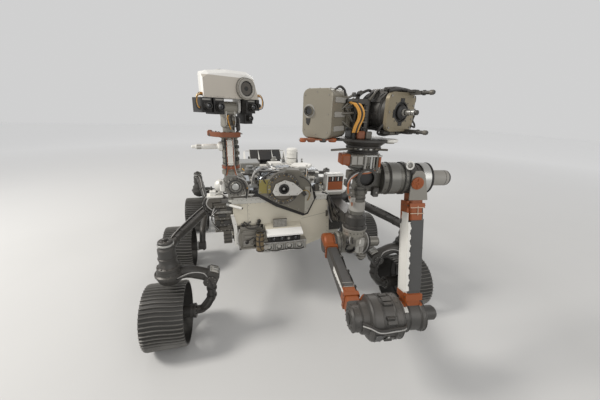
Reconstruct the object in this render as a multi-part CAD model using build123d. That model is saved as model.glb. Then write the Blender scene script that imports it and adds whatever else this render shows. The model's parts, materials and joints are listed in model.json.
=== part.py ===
from build123d import *
import os
from math import cos, pi, radians, sin

os.makedirs("parts", exist_ok=True)

# A six-wheeled planetary rover with a camera mast and a five-joint arm.
# Millimetres. X is the port side, minus Y is the front, Z is up, and the wheels stand on Z = 0.
# The pieces are drawn with Y = 0 at the middle wheels' axle and moved by SHIFT at the end,
# so that the origin is the middle of the plan at floor level.
SHIFT = Pos(0, 262, 0)

# Wheels
WHEEL_R = 262.5
WHEEL_W = 310
LUGS = 48
LUG_H = 13
RIM_T = 7
SPOKES = 6
SPOKE_BOW = 24
HUB_R = 62

# Suspension
FRONT_Y, MIDDLE_Y, REAR_Y = -1165, 0, 1120
TRACK_X = 1120
MIDDLE_X = 1200
STEER_X = 1062
STEER_LOW, STEER_HIGH = 705, 945
STEER_R = 64
KNUCKLE_X, KNUCKLE_Z = 752, 585
TUBE_R = 36
PIVOT_X, PIVOT_Y, PIVOT_Z = 765, -330, 925
BOGIE_X, BOGIE_Y, BOGIE_Z = 880, 480, 640

# Body
BODY_X = 560
BODY_FRONT, BODY_REAR = -700, 760
BODY_LOW, BODY_HIGH = 640, 1092
PANEL_FRONT = -850
PANEL_TOP = -800
PANEL_PORT = 385
DECK_X = 590
DECK_LOW, DECK_HIGH = 1096, 1122

# Four bolt holes in the belly plate, in a rectangle
BELLY_BOLT_X, BELLY_BOLT_Y, BELLY_BOLT_MID = 800, 900, 40
BELLY_BOLT_R = 7

# Lifting lugs: sideways and fore-and-aft place of each
LIFT_LUGS = ((-500, 700), (500, 700), (520, -560))
LUG_HOLE_R = 16
LUG_T = 16
LUG_HOLE_UP = 56

# Power source, leaning back behind the body, and the steerable antenna
POWER = Pos(0, 1195, 900) * Rot(-52, 0, 0)
DISH_X, DISH_Y = 212, -350
DISH_Z = 1262
DISH_R = 122

# Camera mast
MAST_X, MAST_Y = -545, -800
MAST_R = 66
MAST_LOW, MAST_HIGH = 1305, 1692
TILT_Z = 1906
HEAD_PAN = 30
HEAD_W, HEAD_BACK_W, HEAD_D = 480, 320, 250
HEAD_LOW, HEAD_HIGH = 1976, 2176

# Arm, in its own frame: the shoulder elevation axis is the origin, X is port, minus Y is ahead
ARM_AT = (444, -1110, 742)
ARM_TURN = -7
UPPER_LEN, UPPER_RISE = 848, -5.9
FORE_LEN, FORE_RISE = 892, 103.2
UPPER_U = -155
FORE_U = 194
TURRET_U = -156
AZIMUTH_U, AZIMUTH_BACK = 60, -60
AZIMUTH_LOW = 935
GAP = 0.4


def cyl(r, start, end):
    """A round bar from one point to another."""
    start, end = Vector(start), Vector(end)
    run = end - start
    return extrude(Plane(origin=start, z_dir=run) * Circle(r), amount=run.length)


def taper(r0, r1, start, end):
    """A round bar that widens or narrows from one point to another."""
    start, end = Vector(start), Vector(end)
    run = end - start
    place = Plane(origin=start + run * 0.5, z_dir=run).location
    return place * Cone(r0, r1, run.length)


def block(x, y, z, r=0):
    """A box from its limits on each axis, its upright edges rounded by r."""
    size = (x[1] - x[0], y[1] - y[0], z[1] - z[0])
    solid = Pos((x[0] + x[1]) / 2, (y[0] + y[1]) / 2, (z[0] + z[1]) / 2) * Box(*size)
    return fillet(solid.edges().filter_by(Axis.Z), r) if r else solid


def pipe(points, r, bend):
    """A round tube through some points, with a bend of one radius at each corner."""
    path = FilletPolyline(*points, radius=bend) if len(points) > 2 else Line(*points)
    start = Plane(origin=path @ 0, z_dir=path % 0)
    return sweep(start * Circle(r), path=path)


def turned(profile, place):
    """A solid turned about Z from its radius and height pairs, then put in place."""
    return place * revolve(Plane.XZ * make_face(Polyline(*profile, close=True)), Axis.Z)


def profile_xz(points, y):
    """A plate whose outline is in X and Z, between two values of Y."""
    face = make_face(Polyline(*points, close=True))
    return Pos(0, y[1], 0) * extrude(Plane.XZ * face, amount=y[1] - y[0])


def profile_yz(points, x):
    """A plate whose outline is in Y and Z, between two values of X."""
    face = make_face(Polyline(*points, close=True))
    return Pos(x[0], 0, 0) * extrude(Plane.YZ * face, amount=x[1] - x[0])


def bolt_ring(count, ring_r, bolt_r, height, place):
    """A ring of round bosses that stand on a flange."""
    return [place * loc * Cylinder(bolt_r, height) for loc in PolarLocations(ring_r, count)]


def mirrored(solid, side):
    """The port shape as it is, or its starboard mirror image."""
    return solid if side > 0 else mirror(solid, about=Plane.YZ)


def save(name, shape, place=Pos(0, 0, 0)):
    """Write one sub-part, moved to its place in the rover's frame."""
    export_step(SHIFT * place * shape, f"parts/{name}.step")


# Wheels

def wheel():
    """An open wheel on the X axis: a lugged rim with bevelled ends, bowed spokes and a hub."""
    skin_r = WHEEL_R - LUG_H
    step = 360 / LUGS
    outline = []
    for n in range(LUGS):
        for turn, r in ((-0.18, skin_r), (0, WHEEL_R), (0.18, skin_r)):
            a = radians((n + turn) * step)
            outline.append((r * cos(a), r * sin(a)))
    bore = RegularPolygon(skin_r - RIM_T, LUGS // 2, major_radius=True)
    rim = extrude(make_face(Polyline(*outline, close=True)) - bore, amount=WHEEL_W / 2, both=True)
    inner = (skin_r - RIM_T) * cos(radians(360 / LUGS))
    solid = rim + Pos(0, 0, 45) * extrude(RegularPolygon(HUB_R, 12), amount=45, both=True)
    reach = inner - HUB_R + 10
    bow = [(HUB_R - 8 + reach * n / 5, -5 + SPOKE_BOW * sin(pi * n / 5)) for n in range(6)]
    bow += [(x, y + 10) for x, y in reversed(bow)]
    spoke = extrude(make_face(Polyline(*bow, close=True)), amount=26, both=True)
    for n in range(SPOKES):
        solid += Rot(0, 0, 360 * n / SPOKES) * Pos(0, 0, 50) * spoke
    return Rot(0, 90, 0) * solid


WHEEL = wheel()
# name, half track, axle position
WHEELS = (("front", TRACK_X, FRONT_Y), ("middle", MIDDLE_X, MIDDLE_Y), ("rear", TRACK_X, REAR_Y))
for end, x, y in WHEELS:
    for side_name, side in (("left", 1), ("right", -1)):
        turned_wheel = WHEEL if side > 0 else Rot(0, 180, 0) * WHEEL
        save(f"wheel_{end}_{side_name}", turned_wheel, Pos(side * x, y, WHEEL_R))


# Steering necks

def wheel_drive(x0, x1, y):
    """The stepped round motor inside a wheel, on the axle from one X to another."""
    body = cyl(50, (x0, y, WHEEL_R), (x1, y, WHEEL_R))
    for x, w, r in ((x0 + 12, 22, 60), (x1 - 70, 58, 58)):
        body += cyl(r, (x, y, WHEEL_R), (x + w, y, WHEEL_R))
    return body


def neck(y):
    """The port C-shaped bracket: a bowl under the steering drive, an arch inwards, a knuckle, a leg to
    the hub."""
    axis = Pos(STEER_X, y, 0)
    bowl = turned([(0, 566), (46, 566), (84, 596), (102, 640), (106, 668), (96, 676), (90, STEER_LOW - GAP),
                   (0, STEER_LOW - GAP)], axis)
    arch = pipe([(STEER_X - 10, y, 632), (930, y, 660), (KNUCKLE_X + 10, y, KNUCKLE_Z + 10)], 50, 150)
    knuckle = Pos(KNUCKLE_X, y, KNUCKLE_Z) * Rot(0, -24, 0) * Box(104, 124, 130)
    knuckle = chamfer(knuckle.edges().filter_by(Axis.Y), 22)
    leg = pipe([(KNUCKLE_X + 2, y, KNUCKLE_Z - 40), (KNUCKLE_X + 16, y, 372), (846, y, 270),
                (930, y, WHEEL_R)],
               35, 52)
    collar = cyl(60, (900, y, WHEEL_R), (918, y, WHEEL_R))
    return bowl + arch + knuckle + leg + collar + wheel_drive(912, TRACK_X - 12, y)


for end, y in (("front", FRONT_Y), ("rear", REAR_Y)):
    for side_name, side in (("left", 1), ("right", -1)):
        save(f"steering_neck_{end}_{side_name}", mirrored(neck(y), side))


# Rockers and bogies

def steering_drum(y):
    """The fixed steering drive above a corner wheel: a flange, a waisted drum and a motor cap."""
    profile = [
        (0, STEER_LOW), (88, STEER_LOW), (88, STEER_LOW + 22), (74, STEER_LOW + 30), (STEER_R,
                                                                                      STEER_LOW + 60),
        (STEER_R, STEER_HIGH - 66), (STEER_R - 10, STEER_HIGH - 54), (STEER_R - 10, STEER_HIGH - 6),
        (STEER_R - 16, STEER_HIGH), (0, STEER_HIGH),
    ]
    drum = turned(profile, Pos(STEER_X, y, 0))
    for bolt in bolt_ring(12, 80, 5, 10, Pos(STEER_X, y, STEER_LOW + 26)):
        drum += bolt
    return drum


def rocker():
    """The port rocker: pivot boss, bent forward tube to the steering drive, rear tube to the bogie's
    pivot."""
    pivot = (PIVOT_X, PIVOT_Y, PIVOT_Z)
    boss = cyl(80, (BODY_X + 62, PIVOT_Y, PIVOT_Z), (PIVOT_X + 52, PIVOT_Y, PIVOT_Z))
    boss += cyl(92, (BODY_X + 74, PIVOT_Y, PIVOT_Z), (BODY_X + 110, PIVOT_Y, PIVOT_Z))
    boss += taper(80, 46, (PIVOT_X + 52, PIVOT_Y, PIVOT_Z), (PIVOT_X + 70, PIVOT_Y, PIVOT_Z))
    drive = (STEER_X, FRONT_Y, 866)
    elbow = (STEER_X - 40, FRONT_Y + 190, 872)
    ahead = pipe([pivot, elbow, drive], TUBE_R + 6, 120)
    end = (BOGIE_X - 62, BOGIE_Y, BOGIE_Z)
    back = pipe([pivot, (PIVOT_X + 36, PIVOT_Y + 250, PIVOT_Z - 40), end], TUBE_R, 240)
    hub = cyl(64, (BOGIE_X - 95, BOGIE_Y, BOGIE_Z), (BOGIE_X - 20, BOGIE_Y, BOGIE_Z))
    hub += cyl(74, (BOGIE_X - 52, BOGIE_Y, BOGIE_Z), (BOGIE_X - 20, BOGIE_Y, BOGIE_Z))
    # the upright lug that the differential's link holds
    lug = block((PIVOT_X - 92, PIVOT_X - 52), (PIVOT_Y - 30, PIVOT_Y + 42), (PIVOT_Z + 20, PIVOT_Z + 128), 8)
    return boss + ahead + back + hub + lug + steering_drum(FRONT_Y)


def bogie():
    """The port bogie: pivot boss, bent leg to the middle wheel, bent tube to the rear steering drive."""
    boss = cyl(72, (BOGIE_X - 20 + GAP, BOGIE_Y, BOGIE_Z), (BOGIE_X + 62, BOGIE_Y, BOGIE_Z))
    boss += cyl(80, (BOGIE_X - 20 + GAP, BOGIE_Y, BOGIE_Z), (BOGIE_X + 16, BOGIE_Y, BOGIE_Z))
    root = (BOGIE_X + 20, BOGIE_Y, BOGIE_Z)
    knee = (BOGIE_X + 62, MIDDLE_Y + 70, 440)
    leg = pipe([root, knee, (MIDDLE_X - 250, MIDDLE_Y, WHEEL_R + 10)], TUBE_R, 90)
    motor = wheel_drive(MIDDLE_X - 290, MIDDLE_X - 12, MIDDLE_Y)
    elbow = (STEER_X - 60, REAR_Y - 230, 850)
    back = pipe([root, elbow, (STEER_X, REAR_Y, 866)], TUBE_R, 110)
    return boss + leg + motor + back + steering_drum(REAR_Y)


for side_name, side in (("left", 1), ("right", -1)):
    save(f"rocker_{side_name}", mirrored(rocker(), side))
    save(f"bogie_{side_name}", mirrored(bogie(), side))


# Body

ARM = Location(ARM_AT, (0, 0, ARM_TURN))
AZIMUTH = (ARM * Pos(AZIMUTH_U, AZIMUTH_BACK, 0)).position
ARM_X, ARM_Y = AZIMUTH.X, AZIMUTH.Y


def chassis():
    """The closed equipment box: side rails, an open-fronted bay, the suspension's stub axles and a
    corner rack."""
    solid = block((-BODY_X, BODY_X), (BODY_FRONT, BODY_REAR), (BODY_LOW, BODY_HIGH), 18)
    for side in (1, -1):
        x = sorted((side * (BODY_X - 4), side * (BODY_X + 14)))
        for z0, z1 in ((BODY_LOW + 12, BODY_LOW + 46), (BODY_HIGH - 60, BODY_HIGH - 22)):
            solid += block(x, (BODY_FRONT + 40, BODY_REAR - 40), (z0, z1))
        for y in (-600, 150, 420, 690):
            solid += block(x, (y - 14, y + 14), (BODY_LOW + 40, BODY_HIGH - 50))
        start = (side * (BODY_X - 10), PIVOT_Y, PIVOT_Z)
        solid += cyl(96, start, (side * (BODY_X + 22), PIVOT_Y, PIVOT_Z))
        solid += cyl(64, start, (side * (BODY_X + 62 - GAP), PIVOT_Y, PIVOT_Z))
    bay = block((-510, -292), (-846, BODY_FRONT + 5), (630, 860), 14)
    bay -= block((-488, -314), (-860, -740), (652, 800))
    rack = block((-722, -BODY_X + 6), (-804, BODY_FRONT + 40), (806, 1076), 10)
    for z in (850, 912, 974, 1036):
        rack -= block((-740, -610), (-830, -784), (z, z + 14))
    return solid + bay + rack


def front_panel():
    """The pale front bay that leans back to the deck, cut away at its lower starboard corner."""
    outline = [
        (-BODY_X + 8, BODY_HIGH), (PANEL_PORT, BODY_HIGH), (PANEL_PORT, 700), (150, 606), (-200, 590),
        (-268, 640), (-280, 868), (-BODY_X + 8, 872),
    ]
    slope = profile_yz([(BODY_FRONT - GAP, 580), (BODY_FRONT - GAP, BODY_HIGH), (PANEL_TOP, BODY_HIGH),
                        (PANEL_FRONT - 8, 690), (PANEL_FRONT + 10, 590)], (-600, 600))
    return profile_xz(outline, (PANEL_FRONT - 30, BODY_FRONT)) & slope


def belly_pan():
    """The belly plate with its stiffening ribs and four bolt holes."""
    plate = block((-520, 520), (-690, BODY_REAR - 20), (BODY_LOW - 14, BODY_LOW - GAP), 20)
    for y in (-420, -60, 300, 640):
        plate += block((-500, 500), (y - 12, y + 12), (BODY_LOW - 32, BODY_LOW - 13))
    for x in (-BELLY_BOLT_X / 2, BELLY_BOLT_X / 2):
        for y in (BELLY_BOLT_MID - BELLY_BOLT_Y / 2, BELLY_BOLT_MID + BELLY_BOLT_Y / 2):
            plate -= cyl(BELLY_BOLT_R, (x, y, BODY_LOW - 40), (x, y, BODY_LOW))
    return plate


def top_deck():
    """The equipment deck, its corners cut, with a turned-down lip along the front."""
    outline = [
        (-DECK_X + 20, PANEL_TOP - 14), (PANEL_PORT - 24, PANEL_TOP - 14), (PANEL_PORT, PANEL_TOP + 10),
        (PANEL_PORT, BODY_FRONT - 20), (DECK_X - 30, BODY_FRONT - 20), (DECK_X, BODY_FRONT + 10),
        (DECK_X, BODY_REAR - 30), (DECK_X - 50, BODY_REAR + 20), (-DECK_X + 50, BODY_REAR + 20),
        (-DECK_X, BODY_REAR - 30), (-DECK_X, PANEL_TOP + 6),
    ]
    face = make_face(Polyline(*outline, close=True))
    plate = Pos(0, 0, DECK_LOW) * extrude(face, amount=DECK_HIGH - DECK_LOW)
    lip = block((-DECK_X + 30, PANEL_PORT - 30), (PANEL_TOP - 14, PANEL_TOP - 8),
                (DECK_LOW - 18, DECK_LOW + 4))
    return plate + lip


def hazard_camera_bar():
    """The shade slab, the dark camera band under it and the open frame with round cells below."""
    shade = profile_yz([(-980, 800), (-824, 854), (-824, 870), (-980, 812)], (-262, 76))
    band = profile_yz([(-948, 722), (-824, 722), (-824, 862), (-948, 816)], (-246, 60))
    for x in (-196, -120, 10):
        band += cyl(24, (x, -940, 764), (x, -966, 764))
    frame = block((-292, 128), (-936, -824), (622, 716), 10)
    for x in (-240, -142, -44, 60):
        frame -= cyl(30, (x, -950, 668), (x, -905, 668))
    for x in (-190, -92, 8):
        frame -= block((x - 10, x + 10), (-950, -905), (640, 698))
    drum = cyl(36, (-322, -940, 648), (-322, -940, 838))
    drum += block((-330, -250), (-950, -870), (660, 700))
    tie = block((-240, 50), (-900, -824), (712, 730))
    return shade + band + frame + drum + tie - Pos(0, -GAP, 0) * front_panel()


def bit_carousel():
    """The carousel: a wedge housing, a round ring, its cover plate with a round mouth, and a side plate."""
    wedge = profile_xz([(-326, 1205), (-236, 1318), (-70, 1408), (44, 1400), (150, 1290), (188, 1120),
                        (128, 996),
                        (104, 984), (-150, 1096)], (-938, PANEL_TOP - 16))
    wedge = chamfer(wedge.faces().sort_by(Axis.Y)[0].edges(), 12)
    ring = cyl(146, (-108, -936, 1248), (-108, -958, 1248))
    ring -= cyl(112, (-108, -946, 1248), (-108, -970, 1248))
    cover = profile_xz([(-206, 1222), (-176, 1294), (-96, 1326), (-20, 1300), (66, 1226), (20, 1186),
                        (-186, 1190)],
                       (-976, -941))
    mouth = cyl(44, (-108, -971, 1250), (-108, -984, 1250)) - cyl(30, (-108, -946, 1250),
                                                                  (-108, -1000, 1250))
    cover -= cyl(30, (-108, -956, 1250), (-108, -1000, 1250))
    side_plate = profile_xz([(-320, 1212), (-236, 1212), (-226, 1330), (-318, 1326)], (-950, -926))
    solid = wedge + ring + cover + mouth + side_plate
    for boss in bolt_ring(6, 129, 9, 12, Pos(-108, -962, 1248) * Rot(90, 0, 0) * Rot(0, 0, 20)):
        solid += boss
    return solid


def deck_boxes():
    """The closed equipment boxes, canisters and fittings that stand on the deck."""
    # port low, port high, front, back, height, corner
    boxes = (
        (-400, -300, -770, -640, 84, 10), (-320, -70, -600, -400, 196, 12), (-480, -360, -560, -300, 96, 10),
        (-96, 60, -580, -400, 214, 16), (380, 566, -716, -612, 176, 8), (150, 250, -660, -560, 100, 8),
        (-300, -110, -330, -150, 150, 12), (-100, 56, -340, -140, 190, 16), (-440, -180, 300, 620, 110, 20),
        (-60, 150, 260, 560, 80, 12), (400, 540, 20, 220, 60, 10), (-520, -440, 20, 220, 50, 8),
        (376, 480, -480, -330, 90, 10),
    )
    # sideways, fore-and-aft, radius, height, cap radius
    cans = (
        (60, -680, 40, 120, 30), (300, -640, 26, 180, 16), (-240, -700, 26, 120, 20),
        (310, -150, 40, 90, 30), (203, -168, 13, 322, 6), (-330, 90, 60, 120, 44), (60, 640, 46, 130, 30),
    )
    parts = []
    for x0, x1, y0, y1, h, r in boxes:
        box = block((x0, x1), (y0, y1), (DECK_HIGH + GAP, DECK_HIGH + h), r)
        parts.append(chamfer(box.faces().sort_by(Axis.Z)[-1].edges(), 6))
        foot = min(14, h / 4)
        parts.append(block((x0 - 12, x1 + 12), (y0 + 20, y1 - 20), (DECK_HIGH + GAP, DECK_HIGH + foot)))
    for x, y, r, h, cap in cans:
        low = DECK_HIGH + GAP
        parts.append(turned([(0, low), (r + 10, low), (r + 10, low + 10), (r, low + 10), (r, low + h * 0.7),
                             (cap, low + h * 0.78), (cap, low + h), (0, low + h)], Pos(x, y, 0)))
    solid = parts[0]
    for part in parts[1:]:
        solid += part
    return solid


def lifting_lugs():
    """Three bored lugs on the deck, by which the rover is lifted."""
    solid = None
    for x, y in LIFT_LUGS:
        foot = block((x - 40, x + 40), (y - 40, y + 40), (DECK_HIGH + GAP, DECK_HIGH + 12))
        ear = block((x - LUG_T / 2, x + LUG_T / 2), (y - 34, y + 34), (DECK_HIGH + 10, DECK_HIGH + 90))
        ear = fillet(ear.edges().filter_by(Axis.X).sort_by(Axis.Z)[-2:], 30)
        hole = cyl(LUG_HOLE_R, (x - 50, y, DECK_HIGH + LUG_HOLE_UP), (x + 50, y, DECK_HIGH + LUG_HOLE_UP))
        lug = foot + ear - hole
        solid = lug if solid is None else solid + lug
    return solid


def arm_mount():
    """The bracket at the body's front port corner that holds the arm's azimuth drive."""
    plate = block((PANEL_PORT + 10, BODY_X), (BODY_FRONT - 40, BODY_FRONT - GAP), (700, 1080), 6)
    web = profile_yz([(BODY_FRONT - 35, 800), (BODY_FRONT - 35, 1050), (ARM_Y + 40, 1050),
                      (ARM_Y + 40, AZIMUTH_LOW + 8),
                      (ARM_Y + 120, AZIMUTH_LOW + 8)], (410, 540))
    ring = turned([(0, AZIMUTH_LOW), (104, AZIMUTH_LOW), (104, AZIMUTH_LOW + 22), (92, AZIMUTH_LOW + 30),
                   (92, 1040), (76, 1058), (76, 1082), (40, 1092), (0, 1092)], Pos(ARM_X, ARM_Y, 0))
    for boss in bolt_ring(10, 97, 6, 8, Pos(ARM_X, ARM_Y, AZIMUTH_LOW + 26)):
        ring += boss
    return plate + web + ring


save("chassis", chassis())
save("front_panel", front_panel())
save("belly_pan", belly_pan())
save("top_deck", top_deck())
save("hazard_camera_bar", hazard_camera_bar())
save("bit_carousel", bit_carousel())
save("deck_boxes", deck_boxes())
save("lifting_lugs", lifting_lugs())
save("arm_mount", arm_mount())


# Power source, antennas and differential

def power_source():
    """A finned drum that leans back over the rover's tail."""
    core = Cylinder(130, 560)
    for n in range(8):
        core += Rot(0, 0, n * 45 + 22.5) * Pos(195, 0, 0) * Box(180, 8, 520)
    for z in (-285, 285):
        core += Pos(0, 0, z) * Cylinder(140, 14)
    return POWER * core


def power_source_frame():
    """The seat plate under the power source and the struts that carry it behind the body."""
    seat_z = -306
    solid = POWER * Pos(0, 0, seat_z) * Cylinder(135, 26)
    # sideways place and height on the body, place on the seat along its own Y
    for x, z, seat_y in ((250, 930, -80), (-250, 930, -80), (250, 700, 70), (-250, 700, 70)):
        end = (POWER * Pos(x * 0.36, seat_y, seat_z)).position
        solid += cyl(14, (x, BODY_REAR + 12, z), end)
    return solid


def heat_exchangers():
    """The flat panels that flank the power source."""
    solid = None
    for side in (1, -1):
        panel = POWER * Pos(side * 330, 0, 20) * Box(22, 440, 500)
        solid = panel if solid is None else solid + panel
    return solid


def radio_antenna():
    """The upright ribbed drum antenna on the deck's rear."""
    low = DECK_HIGH + GAP
    profile = [(0, low), (96, low), (96, low + 14), (80, low + 24)]
    for z in (60, 120, 180):
        profile += [(80, low + z), (86, low + z), (86, low + z + 8), (80, low + z + 8)]
    return turned(profile + [(80, low + 236), (66, low + 252), (0, low + 252)], Pos(330, 640, 0))


def dish_base():
    """The azimuth drive of the steerable antenna, on a box foot."""
    foot = block((DISH_X - 60, DISH_X + 60), (DISH_Y - 40, DISH_Y + 40), (DECK_HIGH + GAP, DECK_HIGH + 16),
                 14)
    low = DECK_HIGH + 14
    drive = turned([(0, low), (40, low), (40, low + 12), (34, low + 16), (34, low + 50), (0, low + 50)],
                   Pos(DISH_X, DISH_Y, 0))
    return foot + drive


def dish_fork():
    """The turning fork of the steerable antenna."""
    low = DECK_HIGH + 64 + GAP
    stem = cyl(36, (DISH_X, DISH_Y, low), (DISH_X, DISH_Y, low + 20))
    yoke = block((DISH_X - 66, DISH_X + 66), (DISH_Y - 24, DISH_Y + 24), (low + 14, DISH_Z + 24))
    yoke = fillet(yoke.edges().filter_by(Axis.Y).sort_by(Axis.Z)[-2:], 16)
    gap = block((DISH_X - 44, DISH_X + 44), (DISH_Y - 30, DISH_Y + 30), (low + 32, DISH_Z + 30))
    return stem + yoke - gap


def dish_panel():
    """The hexagonal antenna panel, facing up, on its trunnion block."""
    plate = Pos(DISH_X, DISH_Y, DISH_Z + 50) * extrude(RegularPolygon(DISH_R, 6), amount=24)
    plate = chamfer(plate.faces().sort_by(Axis.Z)[-1].edges(), 6)
    hub = block((DISH_X - 38, DISH_X + 38), (DISH_Y - 18, DISH_Y + 18), (DISH_Z, DISH_Z + 52))
    trunnion = cyl(20, (DISH_X - 43, DISH_Y, DISH_Z), (DISH_X + 43, DISH_Y, DISH_Z))
    return plate + hub + trunnion


def differential():
    """The balance bar across the deck, on its centre pivot, with a link at each end."""
    y = -40
    bar = [(-612, y - 16), (-80, y - 34), (80, y - 34), (612, y - 16), (612, y + 16), (80, y + 34),
           (-80, y + 34),
           (-612, y + 16)]
    solid = Pos(0, 0, DECK_HIGH + 24) * extrude(make_face(Polyline(*bar, close=True)), amount=36)
    low = DECK_HIGH + GAP
    solid += turned([(0, low), (84, low), (84, low + 12), (60, low + 18), (60, low + 66), (46, low + 84),
                     (0, low + 84)], Pos(0, y, 0))
    for side in (1, -1):
        top = (side * 600, y, DECK_HIGH + 44)
        foot = (side * (PIVOT_X - 72), PIVOT_Y + 6, PIVOT_Z + 150.3)
        solid += cyl(14, top, foot)
        solid += Pos(*top) * Sphere(26)
        solid += Pos(*foot) * Sphere(22)
    return solid


save("power_source", power_source())
save("power_source_frame", power_source_frame())
save("heat_exchangers", heat_exchangers())
save("radio_antenna", radio_antenna())
save("antenna_base", dish_base())
save("antenna_fork", dish_fork())
save("antenna_panel", dish_panel())
save("differential", differential())


# Camera mast

MAST = Pos(MAST_X, MAST_Y, 0)
HEAD = Location((MAST_X, MAST_Y, 0), (0, 0, HEAD_PAN))


def mast_base():
    """The mast's foot on the deck: a clevis block, a stepped hinge drum that faces ahead and a dome."""
    foot = block((-40, 110), (-10, 140), (DECK_HIGH + GAP, 1190), 12)
    foot = chamfer(foot.faces().sort_by(Axis.Z)[-1].edges(), 10)
    drum = turned([(0, -84), (34, -84), (40, -76), (70, -76), (74, -68), (98, -68), (98, -40), (86, -34),
                   (86, 40), (98, 46), (98, 84), (0, 84)], Pos(28, 0, 1262) * Rot(-90, 0, 0))
    arm = block((-100, 10), (-30, 40), (1206, 1296), 10)
    dome = Pos(-98, 0, 1258) * Sphere(56)
    cap = block((-62, 84), (-64, 64), (1330, MAST_LOW + 60), 20)
    return foot + drum + arm + dome + cap


def mast_tube():
    """The mast's tube with its collars, a flat cable channel down the front and the top ring with its
    tray."""
    profile = [(0, MAST_LOW + 60 + GAP), (MAST_R + 12, MAST_LOW + 60 + GAP), (MAST_R + 12, 1394),
               (MAST_R, 1400)]
    for z, h, grow in ((1412, 28, 9), (1560, 12, 6)):
        profile += [(MAST_R, z), (MAST_R + grow, z + 3), (MAST_R + grow, z + h - 3), (MAST_R, z + h)]
    profile += [(MAST_R, MAST_HIGH - 24), (MAST_R + 26, MAST_HIGH - 14), (MAST_R + 26, MAST_HIGH + 6),
                (0, MAST_HIGH + 6)]
    tube = turned(profile, Pos(0, 0, 0))
    tube += block((-22, 22), (-MAST_R - 8, 0), (1450, MAST_HIGH - 30))
    # a half-round tray that guides the head's cables
    outer = Pos(0, 0, MAST_HIGH + 2) * Cylinder(164, 32, align=(Align.CENTER, Align.CENTER, Align.MIN))
    inner = Pos(0, 0, MAST_HIGH + 10) * Cylinder(157, 40, align=(Align.CENTER, Align.CENTER, Align.MIN))
    keep = profile_xz([(-170, MAST_HIGH - 20), (56, MAST_HIGH - 20), (56, MAST_HIGH + 60),
                       (-170, MAST_HIGH + 60)],
                      (-170, 60))
    return tube + (outer - inner - Cylinder(MAST_R + 20, 5000) & keep)


def wind_sensors():
    """Two thin booms from the mast's middle, each with a ball joint and a rounded end."""
    solid = None
    for a, z, length in ((-176, 1600, 306), (80, 1540, 320)):
        start = MAST_R + 1
        bar = turned([(0, start), (16, start), (25, start + 14), (25, start + 28), (16, start + 42),
                      (13, start + 44),
                      (13, length - 90), (19, length - 86), (19, length - 34), (13, length - 30),
                      (13, length - 8), (7, length), (0, length)], Pos(0, 0, z) * Rot(0, 0, a) * Rot(0, 90,
                                                                                                     0))
        solid = bar if solid is None else solid + bar
    return solid


def mast_neck():
    """The turning neck: a pan drum, a bracket with sloping sides and the tilt drive across its top."""
    low = MAST_HIGH + 6 + GAP
    neck = turned([(0, low), (60, low), (60, low + 14), (50, low + 18), (50, low + 54), (56, low + 58),
                   (56, low + 72), (0, low + 72)], Pos(0, 0, 0))
    neck += profile_xz([(-50, low + 66), (50, low + 66), (44, 1836), (58, 1872), (58, TILT_Z + 12),
                        (-58, TILT_Z + 12), (-58, 1872), (-44, 1836)], (-40, 44))
    tilt = turned([(0, -72), (38, -72), (38, -66), (50, -62), (50, 62), (38, 66), (38, 72), (0, 72)],
                  Pos(0, 0, TILT_Z) * Rot(0, 90, 0))
    return neck + tilt


def camera_head():
    """The head's instrument box, wider in front, with cut edges, a round window in a collar, and two
    cheeks."""
    front = HEAD_D / 2
    plan = [(-HEAD_W / 2 - 14, -front), (HEAD_W / 2, -front), (HEAD_W / 2, -front + 70),
            (HEAD_BACK_W / 2, front),
            (-HEAD_BACK_W / 2, front), (-HEAD_W / 2 - 14, -front + 70)]
    box = Pos(0, 0, HEAD_LOW) * extrude(make_face(Polyline(*plan, close=True)), amount=HEAD_HIGH - HEAD_LOW)
    shape = [(-270, HEAD_LOW), (-262, 2124), (-214, 2156), (-60, HEAD_HIGH), (120, HEAD_HIGH), (184, 2144),
             (236, 1990), (230, HEAD_LOW)]
    box = box & profile_xz(shape, (-200, 200))
    box = chamfer(box.edges().filter_by(Axis.Y, reverse=True).group_by(Axis.Y)[0].sort_by(Axis.Z)[-5:], 24)
    window = (92, 2052)
    collar = cyl(80, (window[0], -front + 4, window[1]), (window[0], -front - 26, window[1]))
    box += collar
    box -= cyl(56, (window[0], -front - 12, window[1]), (window[0], -front - 40, window[1]))
    for side in (1, -1):
        x = sorted((side * 76, side * 96))
        cheek = block(x, (-44, 44), (TILT_Z - 44, HEAD_LOW + 4))
        box += fillet(cheek.edges().filter_by(Axis.X).sort_by(Axis.Z)[:2], 40)
    return box


def camera_body(x, y, z, lens_r, lens_z, reach, r):
    """One camera: a box with a stepped round lens tube ahead of it."""
    body = block(x, y, z, r)
    mid = (x[0] + x[1]) / 2
    body += cyl(lens_r + 5, (mid, y[0] + 2, lens_z), (mid, y[0] - reach * 0.5, lens_z))
    body += cyl(lens_r, (mid, y[0] + 2, lens_z), (mid, y[0] - reach, lens_z))
    return body - cyl(lens_r - 6, (mid, y[0] - reach + 8, lens_z), (mid, y[0] - reach - 10, lens_z))


def head_cameras():
    """The dark camera bodies under the head: a pair on its starboard side and a deep stack on its port
    side."""
    top = HEAD_LOW - GAP
    bodies = (
        camera_body((-280, -196), (-128, 20), (1872, top), 24, 1918, 40, 6),
        camera_body((-188, -102), (-136, 10), (1860, top), 28, 1914, 34, 8),
        camera_body((102, 190), (-120, 20), (1868, top), 27, 1916, 44, 8),
        camera_body((196, 232), (-118, 6), (1890, top), 14, 1930, 26, 4),
        camera_body((104, 182), (-88, 40), (1784, 1872), 21, 1830, 34, 10),
    )
    solid = bodies[0]
    for body in bodies[1:]:
        solid += body
    return solid


save("mast_base", mast_base(), MAST)
save("mast_tube", mast_tube(), MAST)
save("wind_sensors", wind_sensors(), MAST)
save("mast_neck", mast_neck(), HEAD)
save("camera_head", camera_head(), HEAD)
save("head_cameras", head_cameras(), HEAD)


# Arm

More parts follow.
